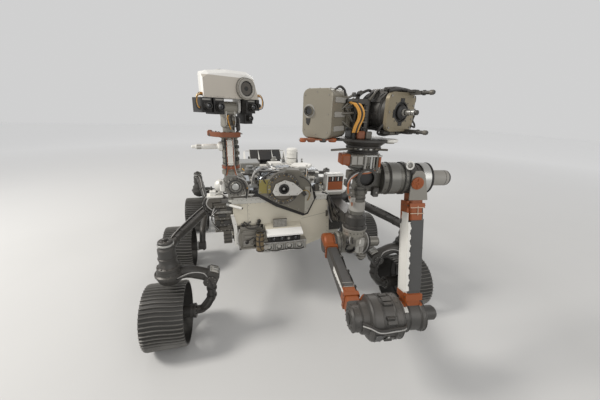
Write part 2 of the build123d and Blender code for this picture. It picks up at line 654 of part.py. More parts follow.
def ahead(length, rise):
    """The step along a link that rises by an angle, as Y and Z."""
    return -length * cos(radians(rise)), length * sin(radians(rise))


ELBOW_Y, ELBOW_Z = ahead(UPPER_LEN, UPPER_RISE)
STEP_Y, STEP_Z = ahead(FORE_LEN, FORE_RISE)
WRIST_Y, WRIST_Z = ELBOW_Y + STEP_Y, ELBOW_Z + STEP_Z


def can(steps, y, z):
    """A stepped round housing on an axis along the arm's X, from its place and radius pairs."""
    profile = [(0, steps[0][0])] + [(r, u) for u, r in steps] + [(0, steps[-1][0])]
    return turned(profile, Pos(0, y, z) * Rot(0, 90, 0))


def link(u, length, rise, y, z, low, high):
    """A tapered box-section link between two joints, its long edges rounded, from a start and an end
    size."""
    place = Pos(u, y, z) * Rot(-rise, 0, 0)
    near = place * Pos(0, -60, 0) * Rot(90, 0, 0) * RectangleRounded(low[0], low[1], 16)
    far = place * Pos(0, -length + 60, 0) * Rot(90, 0, 0) * RectangleRounded(high[0], high[1], 16)
    return place, loft([near.face(), far.face()])


def arm_shoulder():
    """The turning shoulder: a bowl under the azimuth drive, the elevation drive across it, and its motor."""
    top = AZIMUTH_LOW - ARM_AT[2]
    bowl = turned([(0, 20), (66, 20), (72, 60), (72, 92), (84, 104), (98, 130), (104, top - GAP),
                   (0, top - GAP)],
                  Pos(AZIMUTH_U, AZIMUTH_BACK, 0))
    neck = block((AZIMUTH_U - 70, AZIMUTH_U + 70), (AZIMUTH_BACK - 40, 60), (10, 108), 20)
    drive = can(((-90, 84), (-84, 100), (-70, 105), (-40, 105), (-34, 96), (60, 96), (66, 105), (150, 105),
                 (158, 88), (214, 88), (225, 76), (226, 60), (232, 46), (318, 46), (330, 38)), 0, 0)
    motor = turned([(0, -170), (32, -170), (38, -164), (38, -120), (46, -114), (46, -70), (0, -70)],
                   Pos(176, -8, 0))
    return bowl + neck + drive + motor


def upper_arm():
    """The box-section upper arm: a shoulder ring, a tapered beam with cover plates, and the elbow's
    housing."""
    place, beam = link(UPPER_U, UPPER_LEN, UPPER_RISE, 0, 0, (88, 110), (96, 116))
    cover = place * Pos(0, -UPPER_LEN / 2, 58) * Box(70, UPPER_LEN - 330, 14)
    cover += place * Pos(0, -UPPER_LEN / 2, -58) * Box(60, UPPER_LEN - 380, 10)
    cuffs = place * Pos(0, -128, 0) * Box(104, 36, 124)
    cuffs += place * Pos(0, -UPPER_LEN + 150, 0) * Box(106, 36, 128)
    root = can(((UPPER_U - 54, 60), (UPPER_U - 50, 84), (UPPER_U - 34, 92), (UPPER_U + 30, 92),
                (UPPER_U + 36, 84),
                (-90 - GAP, 84)), 0, 0)
    elbow = can(((-214, 50), (-210, 70), (-196, 84), (-150, 84), (-144, 98), (-108, 104), (-101, 128),
                 (-92, 138),
                 (-30, 138), (-24, 130), (44, 130), (50, 138), (98, 138), (110, 122)), ELBOW_Y, ELBOW_Z)
    for n in range(6):
        elbow += Pos(20, ELBOW_Y, ELBOW_Z) * Rot(60 * n, 0, 0) * Pos(0, 0, 124) * Box(60, 40, 24)
    return beam + cover + cuffs + root + elbow


def forearm():
    """The forearm: the elbow's turning ring, a tapered beam with a raised spine, and the wrist's fixed
    ring."""
    place, beam = link(FORE_U, FORE_LEN, FORE_RISE, ELBOW_Y, ELBOW_Z, (96, 104), (82, 92))
    spine = place * Pos(-50, -FORE_LEN / 2 + 10, 6) * Box(14, FORE_LEN - 260, 76)
    cuffs = place * Pos(0, -FORE_LEN + 168, 0) * Box(98, 30, 106)
    cuffs += place * Pos(0, -140, 0) * Box(108, 40, 116)
    foot = can(((110 + GAP, 88), (116, 104), (150, 104), (156, 96), (232, 96), (238, 104), (262, 104),
                (270, 80),
                (274, 46), (356, 46), (370, 36)), ELBOW_Y, ELBOW_Z)
    top = can(((118 + GAP, 84), (124, 92), (176, 92), (182, 84), (214, 84), (220, 92), (258, 92), (268, 70),
               (272, 46), (406, 46), (418, 36)), WRIST_Y, WRIST_Z)
    return beam + spine + cuffs + foot + top


def turret_at(x, y, z):
    """A point measured from the turret's axis at the wrist's height."""
    return TURRET_U + x, WRIST_Y + y, WRIST_Z + z


def wrist():
    """The wrist drive, the upright turret drive beside it, a round port that faces ahead and the
    turret's neck."""
    drive = can(((-45, 84), (-40, 96), (-14, 96), (-8, 86), (0, 98), (60, 98), (66, 92), (88, 92), (94, 98),
                 (112, 98), (118, 86)), WRIST_Y, WRIST_Z)
    upright = turned([(0, -240), (38, -240), (44, -234), (44, -96), (52, -90), (52, -40), (44, -34),
                      (44, 90),
                      (0, 90)], Pos(*turret_at(0, 0, 0)))
    web = block((TURRET_U, -36), (WRIST_Y - 44, WRIST_Y + 50), (WRIST_Z - 70, WRIST_Z + 66), 8)
    port = cyl(54, turret_at(0, 0, 26), turret_at(0, -112, 26)) - cyl(43, turret_at(0, -84, 26),
                                                                      turret_at(0, -130, 26))
    lid = turned([(0, 62), (74, 62), (80, 70), (80, 92), (102, 98), (104, 146), (96, 158), (0, 158)],
                 Pos(*turret_at(0, 0, 0)))
    side = block((TURRET_U - 104, TURRET_U - 56), (WRIST_Y - 46, WRIST_Y + 46),
                 (WRIST_Z + 84, WRIST_Z + 156), 8)
    return drive + upright + web + port + lid + side


DRILL_TURN = radians(24)
DRILL = Plane(origin=turret_at(50, 99, 385), x_dir=(cos(DRILL_TURN), sin(DRILL_TURN), 0),
              z_dir=(sin(DRILL_TURN), -cos(DRILL_TURN), 0)).location


def turret_core():
    """The turret's base ring, its carrying plate and the strutted frame between the instruments."""
    ring = turned([(0, 158 + GAP), (88, 158 + GAP), (88, 170), (98, 176), (98, 200), (132, 226), (132, 241),
                   (0, 241)], Pos(*turret_at(0, 0, 0)))
    plate = block((TURRET_U - 190, TURRET_U + 130), (WRIST_Y - 88, WRIST_Y + 88),
                  (WRIST_Z + 230, WRIST_Z + 241), 24)
    pillar = block((TURRET_U - 100, TURRET_U - 4), (WRIST_Y - 66, WRIST_Y + 66),
                   (WRIST_Z + 240, WRIST_Z + 446), 16)
    pillar -= DRILL * Pos(0, 0, -60) * Cylinder(102 + GAP, 300,
                                                align=(Align.CENTER, Align.CENTER, Align.MIN))
    pocket = block((TURRET_U - 84, TURRET_U - 34), (WRIST_Y - 90, WRIST_Y - 40),
                   (WRIST_Z + 262, WRIST_Z + 420))
    solid = ring + plate + pillar - pocket
    for x0, x1 in ((-84, -34), (-34, -84)):
        solid += cyl(6, turret_at(x0, -60, 256), turret_at(x1, -60, 426))
    hook = pipe([turret_at(-60, 0, 430), turret_at(-60, 0, 478), turret_at(-60, -46, 478)], 11, 20)
    return solid + hook


def turret_sensor_box():
    """The rounded sensor housing, turned outwards, with a round camera in its face and struts to the
    frame."""
    place = Pos(*turret_at(-247, -42, 366)) * Rot(0, 0, -41)
    box = place * Box(170, 184, 242)
    box = fillet(box.edges().filter_by(Axis.Z, reverse=True).filter_by(lambda e: e.length > 180), 36)
    box = chamfer(box.faces().sort_by(Axis.Z)[-1].edges(), 5)
    eye = place * (cyl(24, (-44, -80, 14), (-44, -104, 14)) - cyl(16, (-44, -94, 14), (-44, -110, 14)))
    start = place.position
    arm = block((TURRET_U - 200, TURRET_U - 100 - GAP), (WRIST_Y - 30, WRIST_Y + 34),
                (WRIST_Z + 300, WRIST_Z + 400))
    solid = box + eye + arm
    for y, z in ((-44, 420), (44, 420), (44, 280)):
        solid += cyl(8, start, turret_at(-106, y, z))
    return solid


def turret_drill():
    """The coring drill: a stepped drum, a rounded square face plate with a round chuck and bit, and two
    prongs."""
    place = DRILL
    drum = turned([(0, 0), (84, 0), (96, 12), (96, 40), (102, 46), (102, 172), (94, 178), (94, 214),
                   (0, 214)], place)
    plate = place * Pos(0, 0, 210) * extrude(RectangleRounded(206, 196, 40), amount=22)
    plate -= place * Pos(0, 0, 222) * Cylinder(48, 40, align=(Align.CENTER, Align.CENTER, Align.MIN))
    chuck = place * turned([(0, 205), (34, 205), (34, 238), (22, 246), (14, 246), (12, 330), (0, 330)],
                           Pos(0, 0, 0))
    hump = place * turned([(0, 20), (34, 20), (44, 32), (44, 170), (34, 184), (0, 184)], Pos(0, 78, 0))
    solid = drum + plate + chuck + hump
    for side in (1, -1):
        solid += place * (Pos(60, side * 96, 0) * block((-14, 14), (-9, 9), (150, 300)))
        solid += place * cyl(9, (60, side * 96, 295), (60, side * 96, 362))
    return solid


save("arm_shoulder", arm_shoulder(), ARM)
save("upper_arm", upper_arm(), ARM)
save("forearm", forearm(), ARM)
save("wrist", wrist(), ARM)
save("turret_core", turret_core(), ARM)
save("turret_sensor_box", turret_sensor_box(), ARM)
save("turret_drill", turret_drill(), ARM)
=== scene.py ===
import json
import math
import random

import bmesh
import bpy
from mathutils import Matrix, Vector


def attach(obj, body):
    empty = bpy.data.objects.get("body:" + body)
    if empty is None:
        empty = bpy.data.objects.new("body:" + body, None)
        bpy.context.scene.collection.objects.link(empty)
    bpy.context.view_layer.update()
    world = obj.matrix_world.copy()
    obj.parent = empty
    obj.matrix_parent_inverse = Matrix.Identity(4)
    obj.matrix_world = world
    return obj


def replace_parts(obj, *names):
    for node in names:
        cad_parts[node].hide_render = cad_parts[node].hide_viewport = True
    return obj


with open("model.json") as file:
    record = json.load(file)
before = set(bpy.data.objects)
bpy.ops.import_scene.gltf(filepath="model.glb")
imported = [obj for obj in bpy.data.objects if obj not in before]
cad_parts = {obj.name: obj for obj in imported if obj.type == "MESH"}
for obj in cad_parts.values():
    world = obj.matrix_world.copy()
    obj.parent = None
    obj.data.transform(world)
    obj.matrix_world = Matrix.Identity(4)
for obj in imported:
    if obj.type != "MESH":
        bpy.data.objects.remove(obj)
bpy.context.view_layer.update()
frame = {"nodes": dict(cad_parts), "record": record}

rng = random.Random(7)

# The row frame has the middle wheels' axle 262 mm behind its origin
SHIFT_Y = 0.262


def shift(x, y, z):
    """A move along the axes."""
    return Matrix.Translation((x, y, z))


def spin(degrees, axis):
    """A turn about an axis."""
    return Matrix.Rotation(math.radians(degrees), 4, axis)


# Camera at the photograph's place

CAMERA_AT = (-0.5381, -2.8736, 1.9074)
CAMERA_RIGHT = Vector((0.969377, -0.244298, 0.025049))
CAMERA_UP = Vector((0.056478, 0.321041, 0.94538))
FOCAL_MM = 15.755
SENSOR_MM = 36.0
FRAME_SHIFT = 0.0024

camera_data = bpy.data.cameras.new("camera")
camera_data.sensor_width = SENSOR_MM
camera_data.lens = FOCAL_MM
camera_data.shift_x = FRAME_SHIFT
camera_data.clip_end = 200.0
camera = bpy.data.objects.new("camera", camera_data)
bpy.context.scene.collection.objects.link(camera)
camera_turn = Matrix((CAMERA_RIGHT, CAMERA_UP, CAMERA_RIGHT.cross(CAMERA_UP))).transposed().to_4x4()
camera.matrix_world = shift(*CAMERA_AT) @ camera_turn
bpy.context.scene.camera = camera


# Places: millimetres with Y = 0 at the middle axle, as the solids were drawn

WHEEL_R = 262.5
STEER_X = 1062
FRONT_AXLE, REAR_AXLE = -1165, 1120
SIDES = (("left", 1), ("right", -1))
DECK_Z = 1122
CAROUSEL_X, CAROUSEL_Z = -108, 1248
ARM_TURN = -7
UPPER_LEN, UPPER_RISE = 848, math.radians(-5.9)
FORE_LEN, FORE_RISE = 892, math.radians(103.2)
ELBOW_Y, ELBOW_Z = -UPPER_LEN * math.cos(UPPER_RISE), UPPER_LEN * math.sin(UPPER_RISE)
WRIST_Y = ELBOW_Y - FORE_LEN * math.cos(FORE_RISE)
WRIST_Z = ELBOW_Z + FORE_LEN * math.sin(FORE_RISE)
TILT_Z = 1906

# Local frames of the moving parts and of the tilted ones

REST = Matrix.Identity(4)
ACROSS = spin(90, "Y")
ARM = shift(444, -1110, 742) @ spin(ARM_TURN, "Z")
ELBOW = ARM @ shift(0, ELBOW_Y, ELBOW_Z)
TURRET = ARM @ shift(-156, WRIST_Y, WRIST_Z)
MAST = shift(-545, -800, 0)
HEAD = MAST @ spin(30, "Z")
UPPER = ARM @ shift(-155, 0, 0) @ Matrix.Rotation(-UPPER_RISE, 4, "X")
FORE = ARM @ shift(194, ELBOW_Y, ELBOW_Z) @ Matrix.Rotation(-FORE_RISE, 4, "X")
SENSOR = TURRET @ shift(-247, -42, 366) @ spin(-41, "Z")
DRILL_TURN = math.radians(24)
DRILL_X = Vector((math.cos(DRILL_TURN), math.sin(DRILL_TURN), 0))
DRILL_Z = Vector((math.sin(DRILL_TURN), -math.cos(DRILL_TURN), 0))
DRILL = TURRET @ shift(50, 99, 385) @ Matrix(
    (DRILL_X, DRILL_Z.cross(DRILL_X), DRILL_Z)).transposed().to_4x4()
POWER = shift(0, 1195, 900) @ spin(-52, "X")

# Frames whose Z leaves a face and whose Y is up; the last is the front's sloping panel

FRONT = Matrix(((1, 0, 0, 0), (0, 0, -1, 0), (0, 1, 0, 0), (0, 0, 0, 1)))
REAR = Matrix(((-1, 0, 0, 0), (0, 0, 1, 0), (0, 1, 0, 0), (0, 0, 0, 1)))
PORT = Matrix(((0, 0, 1, 0), (1, 0, 0, 0), (0, 1, 0, 0), (0, 0, 0, 1)))
STARBOARD = Matrix(((0, 0, -1, 0), (1, 0, 0, 0), (0, 1, 0, 0), (0, 0, 0, 1)))
SLOPE = Matrix(((1, 0, 0, 0), (0, 0.1428, -0.9898, -800), (0, 0.9898, 0.1428, 1092), (0, 0, 0, 1)))


def metres(v):
    """A drawn point in the frame's metres."""
    return Vector((v[0] / 1000, v[1] / 1000 + SHIFT_Y, v[2] / 1000))


def upright(point, axis):
    """A frame at a point whose Z runs along an axis."""
    axis = Vector(axis).normalized()
    side = Vector((1, 0, 0)) if abs(axis.x) < 0.9 else Vector((0, 1, 0))
    x = axis.cross(side).normalized()
    m = Matrix((x, axis.cross(x), axis)).transposed().to_4x4()
    m.translation = Vector(point)
    return m


def facing(x, y, z):
    """A frame on the front of something, its Z ahead and its Y up."""
    return shift(x, y, z) @ FRONT


def ahead(x, y, z):
    """A frame at a point, its Z ahead and its X up."""
    return upright((x, y, z), (0, -1, 0))


def outward(r, angle, z):
    """A frame at a radius, an angle and a height, its Z pointing outwards."""
    c, s = math.cos(angle), math.sin(angle)
    return upright((r * c, r * s, z), (c, s, 0))


def mirror(side, axle=0):
    """Places of the port side, mirrored for the other, their Y counted from an axle."""
    return lambda x, y, z: (side * x, axle + y, z)


def ribbon(line, far):
    """An outline between a line of points and a straight edge."""
    return line + [(a, far) for a, b in reversed(line)]


CABLE_SIDES = 8
BOLT_SIDES = 6
MERGE_M = 0.00001


class Piece:
    """One object's shapes, gathered from many parts, each with its own finish."""

    def __init__(self, name, body, place=REST):
        self.name, self.body, self.place = name, body, place
        self.verts, self.faces, self.index, self.finishes = [], [], [], []

    def add(self, verts, faces, finish, place=None):
        """Add a closed shape in millimetres of the piece's own place."""
        m = self.place @ place if place is not None else self.place
        start = len(self.verts)
        self.verts += [metres(m @ Vector(v)) for v in verts]
        if finish not in self.finishes:
            self.finishes.append(finish)
        k = self.finishes.index(finish)
        for f in faces:
            self.faces.append([start + i for i in f])
            self.index.append(k)

    def lathe(self, profile, finish, count=32, place=REST):
        """Turn radius and height pairs about the place's Z."""
        verts, faces = [], []
        n = len(profile)
        for i in range(count):
            a = 2 * math.pi * i / count
            verts += [(r * math.cos(a), r * math.sin(a), z) for r, z in profile]
            p, q = i * n, ((i + 1) % count) * n
            faces += [(p + j, q + j, q + j + 1, p + j + 1) for j in range(n - 1)]
        self.add(verts, faces, finish, place)

    def cap(self, profile, finish, count=32, place=REST):
        """A turned shape with flat ends."""
        self.lathe([(0, profile[0][1]), *profile, (0, profile[-1][1])], finish, count, place)

    def collar(self, radii, span, cut, finish, count=48, place=REST):
        """A band from an inner to an outer radius, its outer edges cut."""
        (r0, r1), (z0, z1) = radii, span
        self.lathe([(r0, z0), (r1, z0 + cut), (r1, z1 - cut), (r0, z1)], finish, count, place)

    def rod(self, start, end, r, finish, count=16):
        """A round bar with closed ends."""
        start, end = Vector(start), Vector(end)
        length = (end - start).length
        e = min(r, length) * 0.18
        self.cap([(r - e, 0), (r, e), (r, length - e), (r - e, length)], finish, count,
                 upright(start, end - start))

    def box(self, centre, size, finish, edge, place=REST, turn=None):
        """A box with cut edges, turned about its centre if asked."""
        x, y, z = (s / 2 for s in size)
        e = min(edge, x * 0.45, y * 0.45, z * 0.45)
        verts, ids = [], {}
        for sx in (-1, 1):
            for sy in (-1, 1):
                for sz in (-1, 1):
                    for k, p in enumerate(((x, y - e, z - e), (x - e, y, z - e), (x - e, y - e, z))):
                        ids[(sx, sy, sz, k)] = len(verts)
                        verts.append((sx * p[0], sy * p[1], sz * p[2]))
        faces = []
        corners = ((-1, -1), (1, -1), (1, 1), (-1, 1))
        for s in (-1, 1):
            faces.append([ids[(s, a, b, 0)] for a, b in corners])
            faces.append([ids[(a, s, b, 1)] for a, b in corners])
            faces.append([ids[(a, b, s, 2)] for a, b in corners])
        for a in (-1, 1):
            for b in (-1, 1):
                faces.append([ids[(a, b, -1, 0)], ids[(a, b, 1, 0)], ids[(a, b, 1, 1)],
                              ids[(a, b, -1, 1)]])
                faces.append([ids[(a, -1, b, 0)], ids[(a, 1, b, 0)], ids[(a, 1, b, 2)],
                              ids[(a, -1, b, 2)]])
                faces.append([ids[(-1, a, b, 1)], ids[(1, a, b, 1)], ids[(1, a, b, 2)],
                              ids[(-1, a, b, 2)]])
                for c in (-1, 1):
                    faces.append([ids[(a, b, c, 0)], ids[(a, b, c, 1)], ids[(a, b, c, 2)]])
        m = place @ shift(*centre)
        if turn:
            m = m @ spin(turn[1], turn[0])
        self.add(verts, faces, finish, m)

    def boxes(self, rows, place=REST):
        """Boxes from rows of centre, size, finish and cut."""
        for centre, size, finish, edge in rows:
            self.box(centre, size, finish, edge, place)

    def prism(self, outline, depth, finish, place=REST):
        """An outline in the place's X and Y, raised along its Z."""
        n = len(outline)
        verts = [(x, y, 0) for x, y in outline] + [(x, y, depth) for x, y in outline]
        faces = [list(range(n))[::-1], list(range(n, 2 * n))]
        faces += [(i, (i + 1) % n, n + (i + 1) % n, n + i) for i in range(n)]
        self.add(verts, faces, finish, place)

    def wire(self, points, r, finish, steps=7):
        """A round cable that runs smoothly through some points."""
        pts = [Vector(p) for p in points]
        ends = [2 * pts[0] - pts[1]] + pts + [2 * pts[-1] - pts[-2]]
        line = []
        for i in range(1, len(ends) - 2):
            a, b, c, d = ends[i - 1:i + 3]
            for k in range(steps):
                t = k / steps
                line.append(0.5 * ((2 * b) + (c - a) * t + (2 * a - 5 * b + 4 * c - d) * t * t
                                   + (3 * b - a - 3 * c + d) * t ** 3))
        line.append(pts[-1])
        verts, faces, side = [], [], None
        for i, p in enumerate(line):
            run = (line[min(i + 1, len(line) - 1)] - line[max(i - 1, 0)]).normalized()
            if side is None:
                side = run.orthogonal().normalized()
            side = (side - run * side.dot(run)).normalized()
            other = run.cross(side)
            for k in range(CABLE_SIDES):
                a = 2 * math.pi * k / CABLE_SIDES
                verts.append(p + r * (math.cos(a) * side + math.sin(a) * other))
        for i in range(len(line) - 1):
            for k in range(CABLE_SIDES):
                a, b = i * CABLE_SIDES + k, i * CABLE_SIDES + (k + 1) % CABLE_SIDES
                faces.append((a, b, b + CABLE_SIDES, a + CABLE_SIDES))
        faces.append(list(range(CABLE_SIDES))[::-1])
        faces.append(list(range(len(verts) - CABLE_SIDES, len(verts))))
        self.add(verts, faces, finish)

    def wires(self, rows):
        """Cables from rows of radius, finish and then the points."""
        for r, finish, *points in rows:
            self.wire(points, r, finish)

    def crinkled(self, width, height, swell, finishes, place, cell=22):
        """A creased sheet with a flat back, its creases and finishes spread by the seeded generator."""
        cols, rows = max(3, round(width / cell)), max(3, round(height / cell))
        points = {}
        for i in range(cols + 1):
            for j in range(rows + 1):
                rim = i in (0, cols) or j in (0, rows)
                dx, dy = (0, 0) if rim else (rng.uniform(-0.3, 0.3), rng.uniform(-0.3, 0.3))
                z = 1.0 if rim else rng.uniform(1.0, swell)
                points[i, j] = (width * ((i + dx) / cols - 0.5), height * ((j + dy) / rows - 0.5), z)
        for i in range(cols):
            for j in range(rows):
                a, b, c, d = points[i, j], points[i + 1, j], points[i + 1, j + 1], points[i, j + 1]
                self.add((a, b, c, d), ((0, 1, 2), (0, 2, 3)), rng.choice(finishes), place)
        rim = [(i, 0) for i in range(cols)] + [(cols, j) for j in range(rows)]
        rim += [(i, rows) for i in range(cols, 0, -1)] + [(0, j) for j in range(rows, 0, -1)]
        low = [(points[k][0], points[k][1], -2.0) for k in rim]
        high = [points[k] for k in rim]
        n = len(rim)
        self.add(low + high, [tuple(range(n))] + [(k, (k + 1) % n, n + (k + 1) % n, n + k)
                                                  for k in range(n)], finishes[0], place)

    def bolts(self, places, r, h, finish):
        """Bolt heads that stand on their places' Z."""
        profile = [(r * 1.5, 0), (r * 1.5, h * 0.25), (r, h * 0.25), (r, h * 0.9), (r * 0.8, h), (0, h)]
        for place in places:
            self.lathe(profile, finish, BOLT_SIDES, place)

    def ring_bolts(self, place, ring_r, n, r, h, finish, first=0.0):
        """A ring of bolt heads round the place's Z."""
        self.bolts([place @ spin(360 * (i + first) / n, "Z") @ shift(ring_r, 0, 0) for i in range(n)],
                   r, h, finish)

    def done(self, slot, angle=32):
        """Make the object and let it ride its body."""
        mesh = bpy.data.meshes.new(self.name)
        mesh.from_pydata([tuple(v) for v in self.verts], [], self.faces)
        for finish in self.finishes:
            mesh.materials.append(finish)
        mesh.polygons.foreach_set("material_index", self.index)
        mesh.polygons.foreach_set("use_smooth", [True] * len(mesh.polygons))
        bm = bmesh.new()
        bm.from_mesh(mesh)
        bmesh.ops.remove_doubles(bm, verts=bm.verts, dist=MERGE_M)
        bmesh.ops.recalc_face_normals(bm, faces=bm.faces)
        bm.to_mesh(mesh)
        bm.free()
        mesh.set_sharp_from_angle(angle=math.radians(angle))
        piece = bpy.data.objects.new(self.name, mesh)
        bpy.context.scene.collection.objects.link(piece)
        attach(piece, self.body)
        return piece


# Finishes

def node_tree(name):
    """A new material with a Principled shader, its nodes and its links."""
    material = bpy.data.materials.new(name)
    material.use_nodes = True
    tree = material.node_tree
    tree.nodes.clear()
    out = tree.nodes.new("ShaderNodeOutputMaterial")
    shader = tree.nodes.new("ShaderNodeBsdfPrincipled")
    tree.links.new(shader.outputs["BSDF"], out.inputs["Surface"])
    return material, tree, shader


def noise(tree, scale, detail=4.0, rough=0.55, stretch=None, seed=0.0):
    """A noise texture in the piece's own metres, stretched along an axis if asked."""
    coord = tree.nodes.new("ShaderNodeTexCoord")
    mapping = tree.nodes.new("ShaderNodeMapping")
    mapping.inputs["Location"].default_value = (seed, seed * 0.7, -seed)
    if stretch:
        mapping.inputs["Scale"].default_value = stretch
    texture = tree.nodes.new("ShaderNodeTexNoise")
    texture.inputs["Scale"].default_value = scale
    texture.inputs["Detail"].default_value = detail
    texture.inputs["Roughness"].default_value = rough
    tree.links.new(coord.outputs["Object"], mapping.inputs["Vector"])
    tree.links.new(mapping.outputs["Vector"], texture.inputs["Vector"])
    return texture.outputs["Fac"]


def ramp(tree, source, low, high, a=(0, 0, 0, 1), b=(1, 1, 1, 1)):
    """A colour ramp between two places of a value."""
    r = tree.nodes.new("ShaderNodeValToRGB")
    r.color_ramp.elements[0].position = low
    r.color_ramp.elements[1].position = high
    r.color_ramp.elements[0].color = a
    r.color_ramp.elements[1].color = b
    tree.links.new(source, r.inputs["Fac"])
    return r.outputs["Color"]


def mixed(tree, factor, a, b, mode="MIX"):
    """A mix of two colours, each a socket or a tuple, by a socket or a number."""
    m = tree.nodes.new("ShaderNodeMix")
    m.data_type = "RGBA"
    m.blend_type = mode
    for value, socket in ((factor, m.inputs[0]), (a, m.inputs[6]), (b, m.inputs[7])):
        if isinstance(value, (int, float, tuple)):
            socket.default_value = value
        else:
            tree.links.new(value, socket)
    return m.outputs[2]


def spread(tree, source, low, high, start=0.0, end=1.0):
    """A value from one range mapped to another, held at its ends."""
    m = tree.nodes.new("ShaderNodeMapRange")
    for key, value in (("From Min", start), ("From Max", end), ("To Min", low), ("To Max", high)):
        m.inputs[key].default_value = value
    tree.links.new(source, m.inputs["Value"])
    return m.outputs["Result"]


def maths(tree, operation, a, b=0.0):
    """One step of arithmetic on two values."""
    m = tree.nodes.new("ShaderNodeMath")
    m.operation = operation
    for value, socket in ((a, m.inputs[0]), (b, m.inputs[1])):
        if isinstance(value, (int, float)):
            socket.default_value = value
        else:
            tree.links.new(value, socket)
    return m.outputs["Value"]


def vectors(tree, operation, a, b):
    """One step of arithmetic on two vectors."""
    m = tree.nodes.new("ShaderNodeVectorMath")
    m.operation = operation
    for value, socket in ((a, m.inputs[0]), (b, m.inputs[1])):
        if isinstance(value, (tuple, Vector)):
            socket.default_value = tuple(value)
        else:
            tree.links.new(value, socket)
    return m.outputs["Value" if operation in ("DOT_PRODUCT", "LENGTH") else "Vector"]


def offset(tree, place):
    """The place on the piece, measured from a local frame's origin, in metres."""
    coord = tree.nodes.new("ShaderNodeTexCoord")
    return vectors(tree, "SUBTRACT", coord.outputs["Object"], metres(place.translation))


SOFT_MM = 0.4


def band(tree, value, low, high):
    """One inside a range of millimetres, nought outside, with soft edges."""
    up = spread(tree, value, 0, 1, (low - SOFT_MM) / 1000, (low + SOFT_MM) / 1000)
    down = spread(tree, value, 1, 0, (high - SOFT_MM) / 1000, (high + SOFT_MM) / 1000)
    return maths(tree, "MULTIPLY", up, down)


def slab(place, axis, low, high):
    """A mask between two planes across a local axis."""
    direction = place.to_3x3().col["XYZ".index(axis)].copy()
    return lambda tree: band(tree, vectors(tree, "DOT_PRODUCT", offset(tree, place), direction), low, high)


def sleeve(place, axis, low, high):
    """A mask between two radii round a local axis."""
    direction = place.to_3x3().col["XYZ".index(axis)].copy()

    def mask(tree):
        out = offset(tree, place)
        side = vectors(tree, "CROSS_PRODUCT", out, direction)
        return band(tree, vectors(tree, "LENGTH", side, (0, 0, 0)), low, high)
    return mask


def painted(*rules):
    """Colours laid one after another where all the masks of each hold."""
    def paint(tree, base):
        for colour, *masks in rules:
            total = masks[0](tree)
            for mask in masks[1:]:
                total = maths(tree, "MULTIPLY", total, mask(tree))
            base = mixed(tree, total, base, tuple(colour) + (1.0,))
        return base
    return paint


def tone(colour, k):
    """A colour made lighter or darker, with its alpha."""
    return tuple(min(1.0, c * k) for c in colour[:3]) + (1.0,)


DUST = (0.40, 0.255, 0.15, 1.0)
DUST_SCALE, WEAR_SCALE = 4.0, 26.0
GRAIN_M = 0.0015


def surface(name, colour, rough, metal=0.0, mottle=0.08, scale=7.0, dust=0.12, bump=0.15, grain=220.0,
            stretch=None, coat=0.0, wear=None, paint=None):
    """A finish with soft blotches, fine grain, dust on what faces up, and bare worn spots if asked."""
    material, tree, shader = node_tree(name)
    blotch = noise(tree, scale, 5.0, 0.6, stretch)
    fine = noise(tree, grain, 3.0, 0.6, stretch, 3.0)
    base = tuple(colour) + (1.0,)
    if paint:
        base = paint(tree, base)
    shade = mixed(tree, blotch, tone((1, 1, 1), 1 - 1.6 * mottle), (1, 1, 1, 1))
    base = mixed(tree, 1.0, base, shade, "MULTIPLY")
    speck = ramp(tree, fine, 0.35, 0.7)
    base = mixed(tree, maths(tree, "MULTIPLY", speck, 0.5 * mottle + 0.02), base, tone(colour, 0.6))
    if wear:
        spots = ramp(tree, noise(tree, WEAR_SCALE, 8.0, 0.7, None, 9.0), 0.60, 0.68)
        base = mixed(tree, maths(tree, "MULTIPLY", spots, 0.55), base, wear)
    if dust:
        coord = tree.nodes.new("ShaderNodeTexCoord")
        split = tree.nodes.new("ShaderNodeSeparateXYZ")
        tree.links.new(coord.outputs["Normal"], split.inputs["Vector"])
        upward = ramp(tree, split.outputs["Z"], 0.25, 0.95)
        patch = ramp(tree, noise(tree, DUST_SCALE, 6.0, 0.65, None, 5.0), 0.3, 0.75)
        amount = maths(tree, "MULTIPLY", maths(tree, "MULTIPLY", upward, patch), dust)
        film = maths(tree, "MULTIPLY", patch, dust * 0.35)
        base = mixed(tree, film, base, DUST)
        base = mixed(tree, amount, base, DUST)
    tree.links.new(base, shader.inputs["Base Color"])
    tree.links.new(spread(tree, blotch, max(0.05, rough - 0.1), min(1.0, rough + 0.12)),
                   shader.inputs["Roughness"])
    shader.inputs["Metallic"].default_value = metal
    if coat:
        shader.inputs["Coat Weight"].default_value = coat
    if bump:
        b = tree.nodes.new("ShaderNodeBump")
        b.inputs["Strength"].default_value = bump
        b.inputs["Distance"].default_value = GRAIN_M
        tree.links.new(fine, b.inputs["Height"])
        tree.links.new(b.outputs["Normal"], shader.inputs["Normal"])
    return material


C_WHITE = (0.74, 0.725, 0.68)
C_CREAM = (0.68, 0.635, 0.52)
C_GREY = (0.30, 0.29, 0.265)
C_DARK = (0.062, 0.060, 0.056)
C_BLACK = (0.018, 0.018, 0.018)
C_ORANGE = (0.30, 0.072, 0.012)
C_SILVER = (0.50, 0.50, 0.48)

